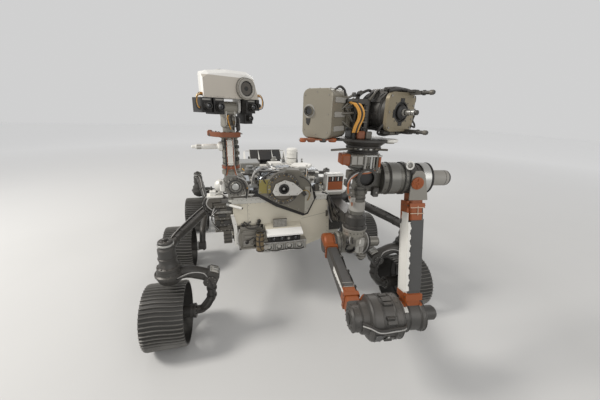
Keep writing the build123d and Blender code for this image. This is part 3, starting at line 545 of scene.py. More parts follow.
WHITE = surface("white_thermal_paint", C_WHITE, 0.5, mottle=0.05, dust=0.08, bump=0.1)
GREY = surface("grey_paint", C_GREY, 0.5, mottle=0.1, dust=0.12)
PALE_GREY = surface("pale_grey_paint", (0.44, 0.43, 0.395), 0.5, mottle=0.08, dust=0.08)
TUBE = surface("dark_tube", (0.052, 0.051, 0.048), 0.42, metal=0.12, mottle=0.2, dust=0.07,
               wear=(0.12, 0.11, 0.095, 1))
FITTING = surface("dark_fitting", (0.058, 0.056, 0.052), 0.38, metal=0.3, mottle=0.22, dust=0.05,
                  wear=(0.17, 0.16, 0.14, 1))
WHEEL = surface("wheel_alloy", (0.17, 0.163, 0.15), 0.42, metal=0.45, mottle=0.2, dust=0.0, scale=11.0,
                wear=(0.30, 0.26, 0.21, 1))
# Painted shade: the rim skin between the lugs gets a far darker colour than the lug alloy, standing for
# the shade that falls between the lugs.
SHADED_WHEEL_SKIN = surface("shaded_wheel_skin", (0.050, 0.047, 0.043), 0.5, metal=0.3, mottle=0.22, dust=0.0)
ALLOY = surface("bare_alloy", C_SILVER, 0.34, metal=0.85, mottle=0.12, dust=0.06, grain=90.0)
FOIL = surface("crinkled_foil", (0.56, 0.585, 0.61), 0.24, metal=0.9, mottle=0.16, scale=30.0, dust=0.04,
               bump=0.9, grain=70.0)
BOLT = surface("bolt_steel", (0.36, 0.35, 0.33), 0.32, metal=0.9, mottle=0.15, dust=0.04)
BRASS = surface("yellowed_fitting", (0.42, 0.30, 0.13), 0.35, metal=0.8, mottle=0.15, dust=0.06)
TAUPE = surface("warm_grey_alloy", (0.27, 0.255, 0.225), 0.38, metal=0.35, mottle=0.1, dust=0.05)
BLACK = surface("black_paint", C_BLACK, 0.5, mottle=0.25, dust=0.05)
CABLE = surface("dark_cable", (0.030, 0.029, 0.028), 0.55, mottle=0.2, dust=0.06)
PALE_CABLE = surface("silver_cable", (0.46, 0.45, 0.43), 0.45, metal=0.3, mottle=0.2, dust=0.06,
                     grain=500.0)
AMBER_CABLE = surface("amber_cable", (0.72, 0.36, 0.07), 0.4, mottle=0.16, dust=0.0, grain=400.0)
ORANGE = surface("rust_wrap", C_ORANGE, 0.55, mottle=0.16, dust=0.0, grain=60.0)
AMBER_TAPE = surface("amber_tape", (0.42, 0.20, 0.05), 0.32, metal=0.3, mottle=0.2, dust=0.05, bump=0.5)
GLASS = surface("lens_glass", (0.012, 0.013, 0.016), 0.06, mottle=0.1, dust=0.0, bump=0.0, coat=1.0)
WINDOW = surface("window_glass", (0.055, 0.042, 0.028), 0.12, mottle=0.2, dust=0.0, bump=0.0, coat=1.0)
CAMERA = surface("camera_housing", (0.026, 0.025, 0.024), 0.36, metal=0.2, mottle=0.2, dust=0.03,
                 wear=(0.1, 0.095, 0.09, 1))
TAN = surface("tan_drum", (0.20, 0.145, 0.075), 0.42, metal=0.2, mottle=0.25, dust=0.05, scale=22.0)
RUST_CABLE = surface("rust_cable", (0.34, 0.10, 0.03), 0.45, mottle=0.16, dust=0.0, grain=400.0)
CLUTTER = surface("weathered_fitting", (0.15, 0.14, 0.12), 0.42, metal=0.3, mottle=0.3, dust=0.1,
                  scale=16.0)
SEAM = surface("seam_shadow", (0.16, 0.15, 0.13), 0.7, mottle=0.1, dust=0.0)
LINK_PANEL = surface("link_panel", (0.060, 0.060, 0.059), 0.4, mottle=0.12, dust=0.04)
LINK_STRIP = surface("link_strip", (0.70, 0.685, 0.64), 0.45, mottle=0.05, dust=0.04)
HEAD_RING = surface("window_collar", (0.34, 0.32, 0.285), 0.42, mottle=0.06, dust=0.0)
RUST_TRAY = surface("rust_tray", (0.24, 0.075, 0.028), 0.5, mottle=0.25, dust=0.05, scale=20.0)
DARK_BOLT = surface("dark_bolt", (0.115, 0.11, 0.10), 0.35, metal=0.5, mottle=0.15, dust=0.03)
PALE_ORANGE = surface("seam_tape", (0.56, 0.44, 0.33), 0.5, mottle=0.1, dust=0.03)


# Finishes of the CAD nodes

FOREARM = surface(
    "forearm_finish", C_DARK, 0.42, metal=0.15, mottle=0.14, dust=0.05, paint=painted(
        (C_WHITE, slab(FORE, "X", -80, -43), slab(FORE, "Y", -600, -60)),
        (C_ORANGE, slab(FORE, "Y", -800, -632), slab(FORE, "X", -80, 80)),
        (C_ORANGE, slab(FORE, "Y", -165, -84), slab(FORE, "X", -70, 60)),
    ))
UPPER_ARM = surface(
    "upper_arm_finish", C_DARK, 0.42, metal=0.15, mottle=0.14, dust=0.06, paint=painted(
        (C_ORANGE, slab(UPPER, "Y", -150, -84), slab(UPPER, "X", -70, 70)),
        (C_ORANGE, slab(UPPER, "Y", -760, -628), slab(UPPER, "X", -70, 70)),
        (C_ORANGE, sleeve(UPPER, "X", 0, 100), slab(UPPER, "Z", 10, 100), slab(UPPER, "X", -60, 50)),
    ))
DRILL_SKIN = surface(
    "drill_finish", (0.075, 0.072, 0.066), 0.4, metal=0.4, mottle=0.2, dust=0.05,
    wear=(0.2, 0.19, 0.17, 1), paint=painted(
        ((0.30, 0.255, 0.175), slab(DRILL, "Z", 209, 234), sleeve(DRILL, "Z", 49, 200)),
        (C_BLACK, slab(DRILL, "Z", 200, 228), sleeve(DRILL, "Z", 0, 48.5)),
    ))
SENSOR_SKIN = surface("sensor_box_finish", (0.26, 0.235, 0.185), 0.36, metal=0.35, mottle=0.08, dust=0.04)
MAST_SKIN = surface(
    "mast_finish", (0.21, 0.198, 0.165), 0.48, mottle=0.1, dust=0.05, paint=painted(
        ((0.27, 0.062, 0.02), slab(MAST, "Z", 1411, 1441)),
        ((0.22, 0.07, 0.028), slab(MAST, "Z", 1689, 1760), sleeve(MAST, "Z", 86, 200),
         slab(MAST, "X", -200, 20)),
        (C_WHITE, slab(MAST, "Y", -90, -64), slab(MAST, "X", -23, 23), slab(MAST, "Z", 1449, 1670)),
    ))
MAST_BASE_SKIN = surface(
    "mast_base_finish", (0.24, 0.23, 0.205), 0.42, metal=0.4, mottle=0.12, dust=0.05, paint=painted(
        (C_WHITE, slab(MAST, "X", -200, -64)),
    ))
# Painted light and shade on the head: the front face keeps the darker base colour as painted shade, the
# top and the -X side are painted brighter as painted light, and the other sides sit between; the black
# ring round the window is its own colour.
HEAD_SKIN_LIT_AND_SHADED = surface(
    "head_finish_painted_light", (0.50, 0.46, 0.40), 0.42, mottle=0.04, dust=0.02, bump=0.08, paint=painted(
        ((0.84, 0.825, 0.79), slab(HEAD, "Z", 2127, 2300)),
        ((0.84, 0.825, 0.79), slab(HEAD, "X", -300, -252)),
        ((0.70, 0.69, 0.66), slab(HEAD, "Y", -90, 200)),
        (C_BLACK, slab(HEAD, "Y", -142, -132), sleeve(HEAD @ shift(92, 0, 2052), "Y", 0, 57)),
    ))
NECK_SKIN = surface("head_neck_finish", (0.30, 0.285, 0.245), 0.42, metal=0.2, mottle=0.12, dust=0.04)
BODY_SKIN = surface(
    "body_finish", (0.50, 0.48, 0.42), 0.5, mottle=0.08, dust=0.12, paint=painted(
        ((0.105, 0.098, 0.083), slab(REST, "X", -760, -554), slab(REST, "Y", -900, -640)),
        ((0.24, 0.225, 0.19), slab(REST, "Y", -900, -701), slab(REST, "X", -515, -285)),
    ))
PANEL_SKIN = surface("front_panel_finish", C_CREAM, 0.5, mottle=0.06, dust=0.08, bump=0.1)
HAZARD_SKIN = surface(
    "hazard_bar_finish", (0.40, 0.38, 0.34), 0.42, metal=0.2, mottle=0.12, dust=0.03, paint=painted(
        ((0.010, 0.010, 0.010), slab(REST, "Y", -1000, -826), slab(REST, "Z", 721, 880),
         slab(REST, "X", -250, 64)),
        ((0.20, 0.145, 0.075), slab(REST, "X", -362, -292), slab(REST, "Z", 640, 842)),
    ))
SHADE_SKIN = surface("sun_shade_finish", (0.86, 0.85, 0.82), 0.4, mottle=0.03, dust=0.03, bump=0.05)
CAROUSEL = shift(CAROUSEL_X, 0, CAROUSEL_Z)
CAROUSEL_SKIN = surface(
    "carousel_finish", (0.205, 0.19, 0.155), 0.42, metal=0.1, mottle=0.16, dust=0.05, scale=16.0,
    paint=painted(
        ((0.46, 0.44, 0.38), slab(REST, "X", 96, 240), slab(REST, "Z", 900, 1250)),
        ((0.17, 0.15, 0.12), slab(REST, "Y", -975, -934), sleeve(CAROUSEL, "Y", 0, 147)),
        (C_WHITE, slab(REST, "Y", -990, -959.5)),
        ((0.11, 0.10, 0.085), slab(REST, "Y", -975, -950), sleeve(CAROUSEL, "Y", 117, 141)),
        (C_BLACK, slab(REST, "Y", -990, -940), sleeve(CAROUSEL, "Y", 0, 31)),
        ((0.30, 0.25, 0.065), slab(REST, "X", -330, -224), slab(REST, "Z", 1206, 1334),
         slab(REST, "Y", -960, -930)),
    ))
BOX_SKIN = surface(
    "deck_box_finish", (0.24, 0.24, 0.23), 0.36, metal=0.35, mottle=0.2, scale=18.0, dust=0.07,
    paint=painted(
        ((0.70, 0.69, 0.66), slab(REST, "X", 370, 600), slab(REST, "Y", -740, -600)),
        ((0.72, 0.71, 0.68), slab(REST, "X", 130, 262), slab(REST, "Y", -680, -540)),
        ((0.20, 0.195, 0.18), slab(REST, "X", -500, -340), slab(REST, "Y", -580, -280)),
        ((0.34, 0.335, 0.31), slab(REST, "Y", 240, 700)),
    ))
DECK_SKIN = surface("deck_finish", (0.60, 0.59, 0.54), 0.5, mottle=0.07, dust=0.14)
SHOULDER_SKIN = surface(
    "shoulder_finish", (0.19, 0.182, 0.16), 0.36, metal=0.45, mottle=0.14, dust=0.06, paint=painted(
        ((0.36, 0.345, 0.30), slab(ARM, "Z", 90, 192)),
        ((0.40, 0.385, 0.34), slab(ARM, "X", 66, 150), slab(ARM, "Z", -110, 110)),
    ))
WRIST_SKIN = surface(
    "wrist_finish", (0.13, 0.125, 0.11), 0.34, metal=0.45, mottle=0.16, dust=0.05, paint=painted(
        ((0.21, 0.205, 0.185), slab(TURRET, "Z", 62, 158)),
        ((0.17, 0.165, 0.15), slab(TURRET, "X", 160, 222)),
        (C_ORANGE, slab(TURRET, "X", -110, -60), slab(TURRET, "Z", 86, 154), slab(TURRET, "Y", -60, 60)),
        (C_BLACK, sleeve(TURRET @ shift(0, 0, 26), "Y", 0, 44), slab(TURRET, "Y", -111, -80)),
    ))
CORE_SKIN = surface("turret_frame_finish", (0.055, 0.052, 0.047), 0.42, metal=0.4, mottle=0.2, dust=0.05)

BY_SLOT = {
    "wheel_alloy": WHEEL, "dark_fitting": FITTING, "graphite_tube": TUBE, "white_paint": WHITE,
    "grey_paint": GREY, "bare_alloy": ALLOY, "black_paint": BLACK,
}
BY_NODE = {
    "front_panel": PANEL_SKIN, "camera_head": HEAD_SKIN_LIT_AND_SHADED, "turret_sensor_box": SENSOR_SKIN,
    "mast_tube": MAST_SKIN, "mast_neck": NECK_SKIN, "mast_base": MAST_BASE_SKIN, "chassis": BODY_SKIN,
    "hazard_camera_bar": HAZARD_SKIN, "bit_carousel": CAROUSEL_SKIN, "deck_boxes": BOX_SKIN,
    "top_deck": DECK_SKIN, "arm_shoulder": SHOULDER_SKIN, "wrist": WRIST_SKIN, "turret_core": CORE_SKIN,
    "forearm": FOREARM, "upper_arm": UPPER_ARM, "head_cameras": CAMERA, "turret_drill": DRILL_SKIN,
    "power_source_frame": TUBE, "antenna_panel": WHITE, "arm_mount": FITTING,
}
slots = {s["node"]: s["material_slot"] for s in frame["record"]["subparts"]}
for name, node in frame["nodes"].items():
    node.data.materials.clear()
    node.data.materials.append(BY_NODE.get(name, BY_SLOT[slots[name]]))


# Wheels: a thin rim with curved lugs, folded edges, bowed spokes and a bolted hub

SKIN_R = 249.5
HALF_WIDTH = 155
LUGS = 48
LUG_STEPS = 22
LUG_BOW = 0.016
LUG_SLANT = 0.028
LUG_FOOT, LUG_SHOULDER, LUG_CREST = 5.2, 2.4, 1.4
SPOKES = 6
SPOKE_STEPS = 12
SPOKE_BOW = 24
SPOKE_HALF = 2.6
HUB_R = 56


def shaded_wheel_skin(p):
    """The thin rim with folded edges and three ribs inside, its finish darker than the lugs' as painted
    shade between them.
    """
    half = HALF_WIDTH
    steps = ((-half, -1), (-half + 3, 0), (half - 3, 0), (half, -1), (half, -12), (half - 5, -13),
             (half - 6, -4), (84, -4), (83, -15), (79, -15), (78, -4), (23, -4), (22, -13), (18, -13),
             (17, -4), (-half + 7, -4), (-half + 6, -10), (-half, -10), (-half, -1))
    p.lathe([(SKIN_R + dr, z) for z, dr in steps], SHADED_WHEEL_SKIN, 144)


def wheel_lugs(p):
    """The curved lugs across the rim."""
    verts, faces = [], []
    half = HALF_WIDTH
    for lug in range(LUGS):
        first = len(verts)
        for k in range(LUG_STEPS + 1):
            z = -half + 2 * half * k / LUG_STEPS
            bow = LUG_BOW * math.sin(2 * math.pi * z / (2 * half) + 0.6)
            a = 2 * math.pi * lug / LUGS + bow + LUG_SLANT * z / half
            top = WHEEL_R - (5 if k in (0, LUG_STEPS) else 0)
            section = [(SKIN_R - 0.5, LUG_FOOT), (top - 1.2, LUG_SHOULDER), (top, LUG_CREST)]
            section += [(r, -w) for r, w in reversed(section)]
            for r, w in section:
                b = a + w / r
                verts.append((r * math.cos(b), r * math.sin(b), z))
        n = len(section)
        for k in range(LUG_STEPS):
            for j in range(n - 1):
                i = first + k * n + j
                faces.append((i, i + 1, i + n + 1, i + n))
        faces.append(tuple(range(first, first + n)))
        faces.append(tuple(range(first + LUG_STEPS * n, first + LUG_STEPS * n + n))[::-1])
    p.add(verts, faces, WHEEL)


def wheel_spokes(p, side):
    """The bowed spokes in pairs, their bolted feet on the rim and their blocks on the hub."""
    line = []
    for k in range(SPOKE_STEPS + 1):
        t = k / SPOKE_STEPS
        line.append((HUB_R + (SKIN_R - 15 - HUB_R) * t, side * SPOKE_BOW * math.sin(math.pi * t)))
    outline = [(x, y - SPOKE_HALF) for x, y in line] + [(x, y + SPOKE_HALF) for x, y in reversed(line)]
    for n in range(SPOKES):
        turn = spin(360 * n / SPOKES, "Z")
        for z in (26, 54):
            p.prism(outline, 20, FITTING, turn @ shift(0, 0, z))
        foot = turn @ shift(SKIN_R - 17, side, 50)
        p.box((0, 0, 0), (9, 46, 60), FITTING, 3, foot)
        p.bolts([foot @ shift(-4.5, y, z) @ spin(-90, "Y") for z in (-20, 20) for y in (-14, 14)],
                3.2, 4, BOLT)
        p.box((62, 0, 50), (26, 20, 56), FITTING, 3, turn)


for end, x, y in (("front", 1120, FRONT_AXLE), ("middle", 1200, 0), ("rear", 1120, REAR_AXLE)):
    for side_name, side in SIDES:
        node = f"wheel_{end}_{side_name}"
        wheel = Piece(f"{node}_detail", node, shift(side * x, y, WHEEL_R) @ spin(90 * side, "Y"))
        shaded_wheel_skin(wheel)
        wheel_lugs(wheel)
        wheel_spokes(wheel, side)
        wheel.cap([(58, 0), (62, 4), (62, 20), (55, 24), (55, 76), (62, 80), (62, 86), (56, 90), (40, 90),
                   (37, 84), (26, 84), (24, 92), (14, 95)], TUBE, 48)
        wheel.ring_bolts(shift(0, 0, 89), 49, 12, 3.6, 5, BOLT)
        wheel.ring_bolts(shift(0, 0, 83), 31, 6, 2.6, 4, BOLT)
        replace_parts(wheel.done("wheel_alloy", 38), node)


# Body front

front = Piece("front_fittings", "chassis")
for x0, y0, x1, y1 in ((-546, -8, 380, -8), (-420, -10, -420, -215), (-546, -216, -290, -216),
                       (96, -200, 380, -150)):
    run = Vector((x1 - x0, y1 - y0))
    along = Matrix.Rotation(math.atan2(run.y, run.x), 4, "Z")
    front.box((0, 0, 0), (run.length, 2.2, 1.0), SEAM, 0.3,
              SLOPE @ shift((x0 + x1) / 2, (y0 + y1) / 2, 0.3) @ along)
rivets = [(x, -20) for x in range(-530, 380, 46)] + [(-408, -y) for y in range(40, 210, 40)]
rivets += [(366, -y) for y in range(40, 400, 44)]
rivets += [(x, -205) for x in range(-530, -300, 46)]
front.bolts([SLOPE @ shift(x, y, 0) for x, y in rivets], 2.6, 2.2, BOLT)
plate = facing(-126, -884, 888)
front.box((0, 0, 0), (130, 88, 12), CLUTTER, 2, plate)
for i in range(10):
    front.box((-58.5 + i * 13, 0, 6.5), (4, 80, 3), PALE_GREY, 1, plate)
for j in range(6):
    front.box((0, -35 + j * 14, 6), (122, 3.5, 3), PALE_GREY, 1, plate)
for x in (-176, -76):
    front.box((x, -868, 872), (10, 30, 40), CLUTTER, 2)
front.rod((-604, -808, 1078), (-470, -866, 1052), 13, WHITE, 20)
front.rod((-604, -808, 1078), (-578, -819, 1073), 17, ALLOY, 20)
front.rod((-472, -865, 1052), (-466, -868, 1051), 9, BLACK, 16)
front.rod((-486, -856, 1054), (-486, -806, 1054), 7, ALLOY)
strut = facing(-540, -846, 0)
front.prism([(-34, 992), (-6, 992), (16, 900), (22, 690), (10, 670), (-10, 676), (-14, 860)], 16, WHITE,
            strut)
for x, z in ((-554, 980), (-528, 900), (-522, 800), (-520, 700)):
    front.ring_bolts(facing(x, -862, z), 9, 2, 2.6, 3, BOLT)
for x0, x1, z0, z1 in (
    (-512, -290, 846, 864), (-512, -290, 626, 642), (-512, -494, 626, 864), (-308, -290, 626, 864),
    (-488, -314, 792, 806),
):
    front.box(((x0 + x1) / 2, -852, (z0 + z1) / 2), (x1 - x0, 14, z1 - z0), TAUPE, 2)
for x0, x1 in ((-460, -396), (-396, -460)):
    front.rod((x0, -858, 868), (x1, -852, 912), 7, FITTING, 10)
for x, z in ((-470, 884), (-330, 884), (-318, 912), (-438, 700), (-352, 730)):
    front.cap([(15, 0), (17, 4), (17, 16), (13, 22), (9, 24), (9, 16)], FITTING, 18, facing(x, -846, z))
    front.lathe([(0, 15), (8, 15), (8, 17), (0, 18)], BLACK, 12, facing(x, -846, z))
for x, z, w, h, finish in (
    (-440, 690, 70, 46, GREY), (-356, 676, 50, 60, CLUTTER), (-410, 752, 110, 30, TAUPE),
    (-340, 752, 40, 44, GREY), (-400, 812, 150, 26, TAUPE), (-400, 660, 160, 22, TAUPE),
):
    front.box((x, -820, z), (w, 66, h), finish, 4)
    front.bolts([facing(x + d, -853, z) for d in (-w / 3, w / 3)], 3, 3.5, BOLT)
front.box((-401, -838, 716), (178, 8, 152), TAUPE, 2)
front.wires((
    (6, CABLE, (-470, -850, 880), (-430, -878, 860), (-380, -874, 846), (-330, -868, 862),
     (-312, -850, 900)),
    (5, PALE_CABLE, (-500, -856, 840), (-520, -880, 780), (-516, -880, 700), (-498, -858, 650)),
    (5, CABLE, (-446, -826, 700), (-420, -860, 720), (-380, -856, 742), (-346, -826, 730)),
))
for z, finish in ((826, CLUTTER), (880, TUBE), (942, CLUTTER), (1004, GREY), (1060, CLUTTER)):
    front.box((-640, -806, z), (150, 12, 22), finish, 2)
    for x in (-704, -668, -632, -596, -568):
        front.lathe([(5, 0), (5, 5), (3.4, 6), (3.4, 2), (0, 2)], BOLT, 8, facing(x, -812, z))
for i in range(4):
    front.wire([(-712 + 8 * i, -812, 1050 - 10 * i), (-735, -840 - 4 * i, 990), (-732, -838, 900 + 6 * i),
                (-706 + 9 * i, -812, 836)], 4.5, CABLE if i % 2 else PALE_CABLE)
front.boxes((
    ((-640, -745, 1084), (166, 118, 14), CLUTTER, 3), ((-612, -790, 756), (74, 44, 142), CLUTTER, 3),
))
for z in (706, 740, 776):
    front.box((-612, -814, z), (78, 8, 10), TUBE, 2)
front.box((-748, -790, 1080), (44, 40, 60), CLUTTER, 4)
for y, z, w, h, finish in (
    (-850, 1004, 60, 70, CAMERA), (-936, 994, 70, 56, CLUTTER), (-880, 916, 90, 60, CLUTTER),
    (-1010, 946, 56, 56, CAMERA), (-1000, 1016, 40, 30, TUBE),
):
    front.box((404, y, z), (16, w, h), finish, 3)
    front.bolts([upright((396, y + d, z), (-1, 0, 0)) for d in (-w / 3, w / 3)], 3, 4, BOLT)
front.wires((
    (9, CABLE, (330, -745, 1128), (368, -800, 1118), (392, -860, 1062), (398, -920, 1030),
     (406, -985, 1004)),
    (8, CLUTTER, (346, -760, 1124), (374, -826, 1090), (388, -876, 984), (398, -960, 930),
     (407, -1040, 934)),
    (8, CABLE, (352, -780, 1112), (376, -826, 1040), (384, -846, 950), (400, -890, 884)),
    (6, PALE_CABLE, (372, -812, 1004), (380, -838, 930), (390, -850, 880), (404, -880, 850)),
))
front.boxes((
    ((366, -800, 1092), (30, 30, 50), CAMERA, 4), ((360, -828, 930), (20, 22, 60), CLUTTER, 3),
))
for x, z, w, h in (
    (-690, 906, 44, 40), (-610, 906, 60, 34), (-650, 972, 70, 30), (-584, 1034, 40, 34),
    (-690, 1030, 50, 30),
):
    front.box((x, -802, z), (w, 26, h), TUBE, 3)
front.done("grey_paint")


# Hazard cameras

hazard = Piece("hazard_camera_fittings", "chassis")
shade = shift(-264, 0, 0) @ PORT
hazard.prism([(-906, 840.6), (-981, 812.6), (-981, 799.4), (-983.5, 799), (-983.5, 814), (-906, 843.4)],
             342, SHADE_SKIN, shade)
hazard.prism([(-826, 870.6), (-905, 841), (-905, 843.6), (-826, 873.4)], 342, PANEL_SKIN, shade)
for x in (-0.5, 338.5):
    hazard.prism([(-826, 871), (-905, 842), (-905, 826), (-826, 853)], 3.5, PANEL_SKIN,
                 shade @ shift(0, 0, x))
for x in (-196, -120, 10):
    hazard.cap([(25, 0), (25, 10), (22, 13), (19, 13), (16, 6)], CAMERA, 32, facing(x, -964, 764))
    hazard.lathe([(0, 7), (15, 7), (9.5, 10), (0, 11)], GLASS, 32, facing(x, -964, 764))
hazard.box((-58, -955, 764), (52, 22, 40), CAMERA, 3)
hazard.lathe([(0, 0), (12, 0), (12, 6), (9, 8), (0, 6)], GREY, 24, facing(-58, -966, 764))
for x in (-240, -142, -44, 60):
    hazard.lathe([(31, 0), (35, 2), (35, 8), (29, 9), (26, 4), (26, -16), (29, -18)], ALLOY, 32,
                 facing(x, -936, 668))
    hazard.lathe([(0, -14), (22, -14), (22, -6), (14, 2), (0, 4)], PALE_GREY, 24, facing(x, -936, 668))
    hazard.ring_bolts(facing(x, -928, 668), 15, 6, 2, 3, BOLT)
for x in (-191, -93, 8, 108, -282):
    hazard.rod((x, -940, 628), (x, -940, 710), 5, ALLOY)
for z in (624, 714):
    hazard.rod((-290, -940, z), (126, -940, z), 6, ALLOY)
for x in range(-270, 120, 30):
    hazard.box((x, -944, 714), (14, 12, 10), BOLT, 2)
hazard.wires((
    (4.5, PALE_CABLE, (-280, -938, 716), (-200, -962, 728), (-90, -952, 720), (20, -962, 728),
     (120, -936, 716)),
    (4.5, CABLE, (-284, -932, 640), (-180, -950, 632), (-60, -944, 640), (60, -950, 630),
     (124, -930, 644)),
))
for z in (652, 700, 752, 800, 834):
    hazard.collar((36.5, 40), (0, 10), 1, FITTING, 32, shift(-322, -940, z))
hazard.wire([(-322, -976, 830), (-336, -990, 780), (-326, -982, 700), (-300, -960, 640)], 5, CABLE)
for x, w in ((-327, 50), (-288, 36)):
    hazard.box((x, -934, 846), (w, 44, 14), FITTING, 3)
hazard.done("white_paint")


# Carousel

carousel = Piece("carousel_fittings", "chassis")
# A black band on the panel round the wedge's lower edge: it is the gap under the wedge, and where it
# reaches out past the wedge's edge it is painted shadow.
wedge_shadow_band = [(-366, 1196), (-338, 1158), (-160, 1042), (108, 928), (160, 944), (236, 1110), (222, 1160),
        (140, 1010), (104, 992), (-148, 1104), (-318, 1210)]
carousel.prism(wedge_shadow_band, 54, BLACK, shift(0, -788, 0) @ FRONT)
rim = facing(CAROUSEL_X, -958, CAROUSEL_Z)
for r0, r1 in ((140, 147), (108, 113)):
    carousel.lathe([(r0, 0), (r0 + 1, 2.5), (r1 - 1, 2.5), (r1, 0)], CLUTTER, 72, rim)
mouth = facing(CAROUSEL_X, -984, 1250)
carousel.lathe([(31, -14), (31, 3), (43, 3), (46, 0), (46, -6)], BLACK, 40, mouth)
carousel.lathe([(12, -34), (14, -9), (17, -9), (17, -34)], FITTING, 32, mouth)
carousel.cap([(9, -12), (9, -34)], ALLOY, 24, mouth)
carousel.ring_bolts(rim, 134, 36, 3.2, 4, BOLT)
carousel.ring_bolts(rim, 119, 18, 3.4, 5, BRASS, 0.4)
for k in range(18):
    carousel.box((127, 0, 3), (16, 12, 5), CLUTTER if k % 3 else GREY, 2, rim @ spin(20 * k, "Z"))
for a in (20, 80, 140, 200, 260, 320):
    carousel.cap([(10, 0), (10, 3), (6, 4), (6, 1)], FITTING, 16, rim @ spin(a, "Z") @ shift(129, 0, 10))
for y, r, h, spots in (
    (-976, 3.2, 3, ((-178, 1232), (-160, 1290), (-96, 1312), (-30, 1286), (44, 1226), (12, 1200),
                    (-60, 1196), (-150, 1198))),
    (-950, 3.6, 3.5, ((-308, 1222), (-308, 1316), (-238, 1222), (-238, 1318))),
    (-938, 3.4, 3.5, ((60, 1362), (120, 1296), (150, 1218), (160, 1130), (128, 1040), (104, 1008),
                      (40, 1036), (-60, 1080), (-160, 1120), (-250, 1172))),
):
    carousel.bolts([facing(x, y, z) for x, z in spots], r, h, BOLT)
carousel.box((82, -944, 1196), (34, 20, 60), FITTING, 4, turn=("Y", -30))
carousel.wires((
    (4.5, BRASS, (60, -946, 1216), (104, -968, 1224), (136, -958, 1180), (120, -946, 1120)),
    (4.5, CABLE, (40, -944, 1350), (90, -970, 1330), (140, -958, 1270), (146, -940, 1200)),
    (6, CABLE, (-260, -944, 1290), (-280, -950, 1340), (-230, -930, 1380), (-160, -910, 1390)),
))
carousel.done("bare_alloy")


# Deck

deck = Piece("deck_fittings", "chassis")
deck.bolts([facing(x, -814, 1110) for x in range(-550, 360, 42)], 3, 3, BOLT)
deck.box((-100, -806, 1128), (880, 12, 10), WHITE, 2)
deck_boxes = (
    (-400, -300, -770, -640, 84), (-320, -70, -600, -400, 196), (-480, -360, -560, -300, 96),
    (-96, 60, -580, -400, 214), (380, 566, -716, -612, 176), (150, 250, -660, -560, 100),
    (-300, -110, -330, -150, 150), (-100, 56, -340, -140, 190), (-440, -180, 300, 620, 110),
    (-60, 150, 260, 560, 80), (400, 540, 20, 220, 60), (-520, -440, 20, 220, 50),
    (376, 480, -480, -330, 90),
)
# The box with the orange face carries no plugs
ORANGE_FACED = 4
for i, (x0, x1, y0, y1, h) in enumerate(deck_boxes):
    top = DECK_Z + h
    lid = (ALLOY, WHITE, FOIL, PALE_GREY)[i % 4]
    deck.box(((x0 + x1) / 2, (y0 + y1) / 2, top + 2), (x1 - x0 - 26, y1 - y0 - 26, 5), lid, 1.5)
    spots = [(x, y) for x in (x0 + 9, x1 - 9) for y in (y0 + 14, (y0 + y1) / 2, y1 - 14)]
    spots += [((x0 + x1) / 2, y) for y in (y0 + 9, y1 - 9)]
    deck.bolts([shift(x, y, top) for x, y in spots], 3, 3.5, BOLT)
    for k in range(0 if i == ORANGE_FACED else 2 + i % 3):
        x = x0 + (k + 0.7) * (x1 - x0) / (2.6 + i % 3)
        z = DECK_Z + h * (0.34 + 0.18 * (k % 2))
        deck.cap([(11, 0), (13, 3), (13, 12), (9, 16), (9, 26), (6, 30)], ALLOY if k % 2 else BRASS, 18,
                 facing(x, y0, z))
        dx = rng.uniform(-50, 50)
        deck.wire([(x, y0 - 26, z), (x + dx * 0.3, y0 - 46, z - 8), (x + dx * 0.8, y0 - 44, 1150),
                   (x + dx, y0 - 24, 1128)], 5, (PALE_CABLE, CABLE, AMBER_CABLE)[(i + k) % 3])
deck.wires((
    (8, PALE_CABLE, (-420, -700, 1136), (-360, -770, 1132), (-240, -730, 1134), (-90, -742, 1134),
     (60, -736, 1136), (240, -744, 1132)),
    (7, CABLE, (-420, -690, 1142), (-350, -750, 1144), (-230, -718, 1146), (-80, -728, 1144),
     (70, -722, 1146), (230, -730, 1142)),
    (9, PALE_CABLE, (-330, -620, 1220), (-344, -640, 1290), (-300, -612, 1336), (-220, -600, 1330),
     (-130, -590, 1336)),
    (9, PALE_CABLE, (-330, -610, 1180), (-356, -640, 1240), (-330, -620, 1320), (-250, -560, 1350),
     (-160, -540, 1352)),
    (7, FOIL, (-300, -604, 1200), (-280, -640, 1260), (-220, -634, 1300), (-160, -612, 1290),
     (-110, -604, 1250)),
    (7, CABLE, (-250, -604, 1160), (-220, -640, 1200), (-180, -636, 1240), (-120, -610, 1270),
     (-84, -600, 1300)),
    (8, PALE_CABLE, (70, -560, 1320), (104, -580, 1280), (112, -570, 1200), (140, -600, 1160)),
    (7, CABLE, (66, -500, 1336), (110, -520, 1320), (128, -520, 1240), (120, -500, 1140)),
    (7, CABLE, (366, -660, 1180), (330, -690, 1220), (290, -670, 1190), (270, -640, 1140)),
    (6, PALE_CABLE, (390, -604, 1160), (420, -560, 1200), (460, -520, 1190), (470, -480, 1150)),
    (8, CABLE, (-460, -560, 1160), (-500, -500, 1150), (-520, -380, 1134), (-500, -200, 1134),
     (-520, -90, 1134)),
    (6, AMBER_CABLE, (-446, -560, 1160), (-486, -500, 1146), (-506, -380, 1134), (-486, -200, 1134),
     (-506, -90, 1134)),
))
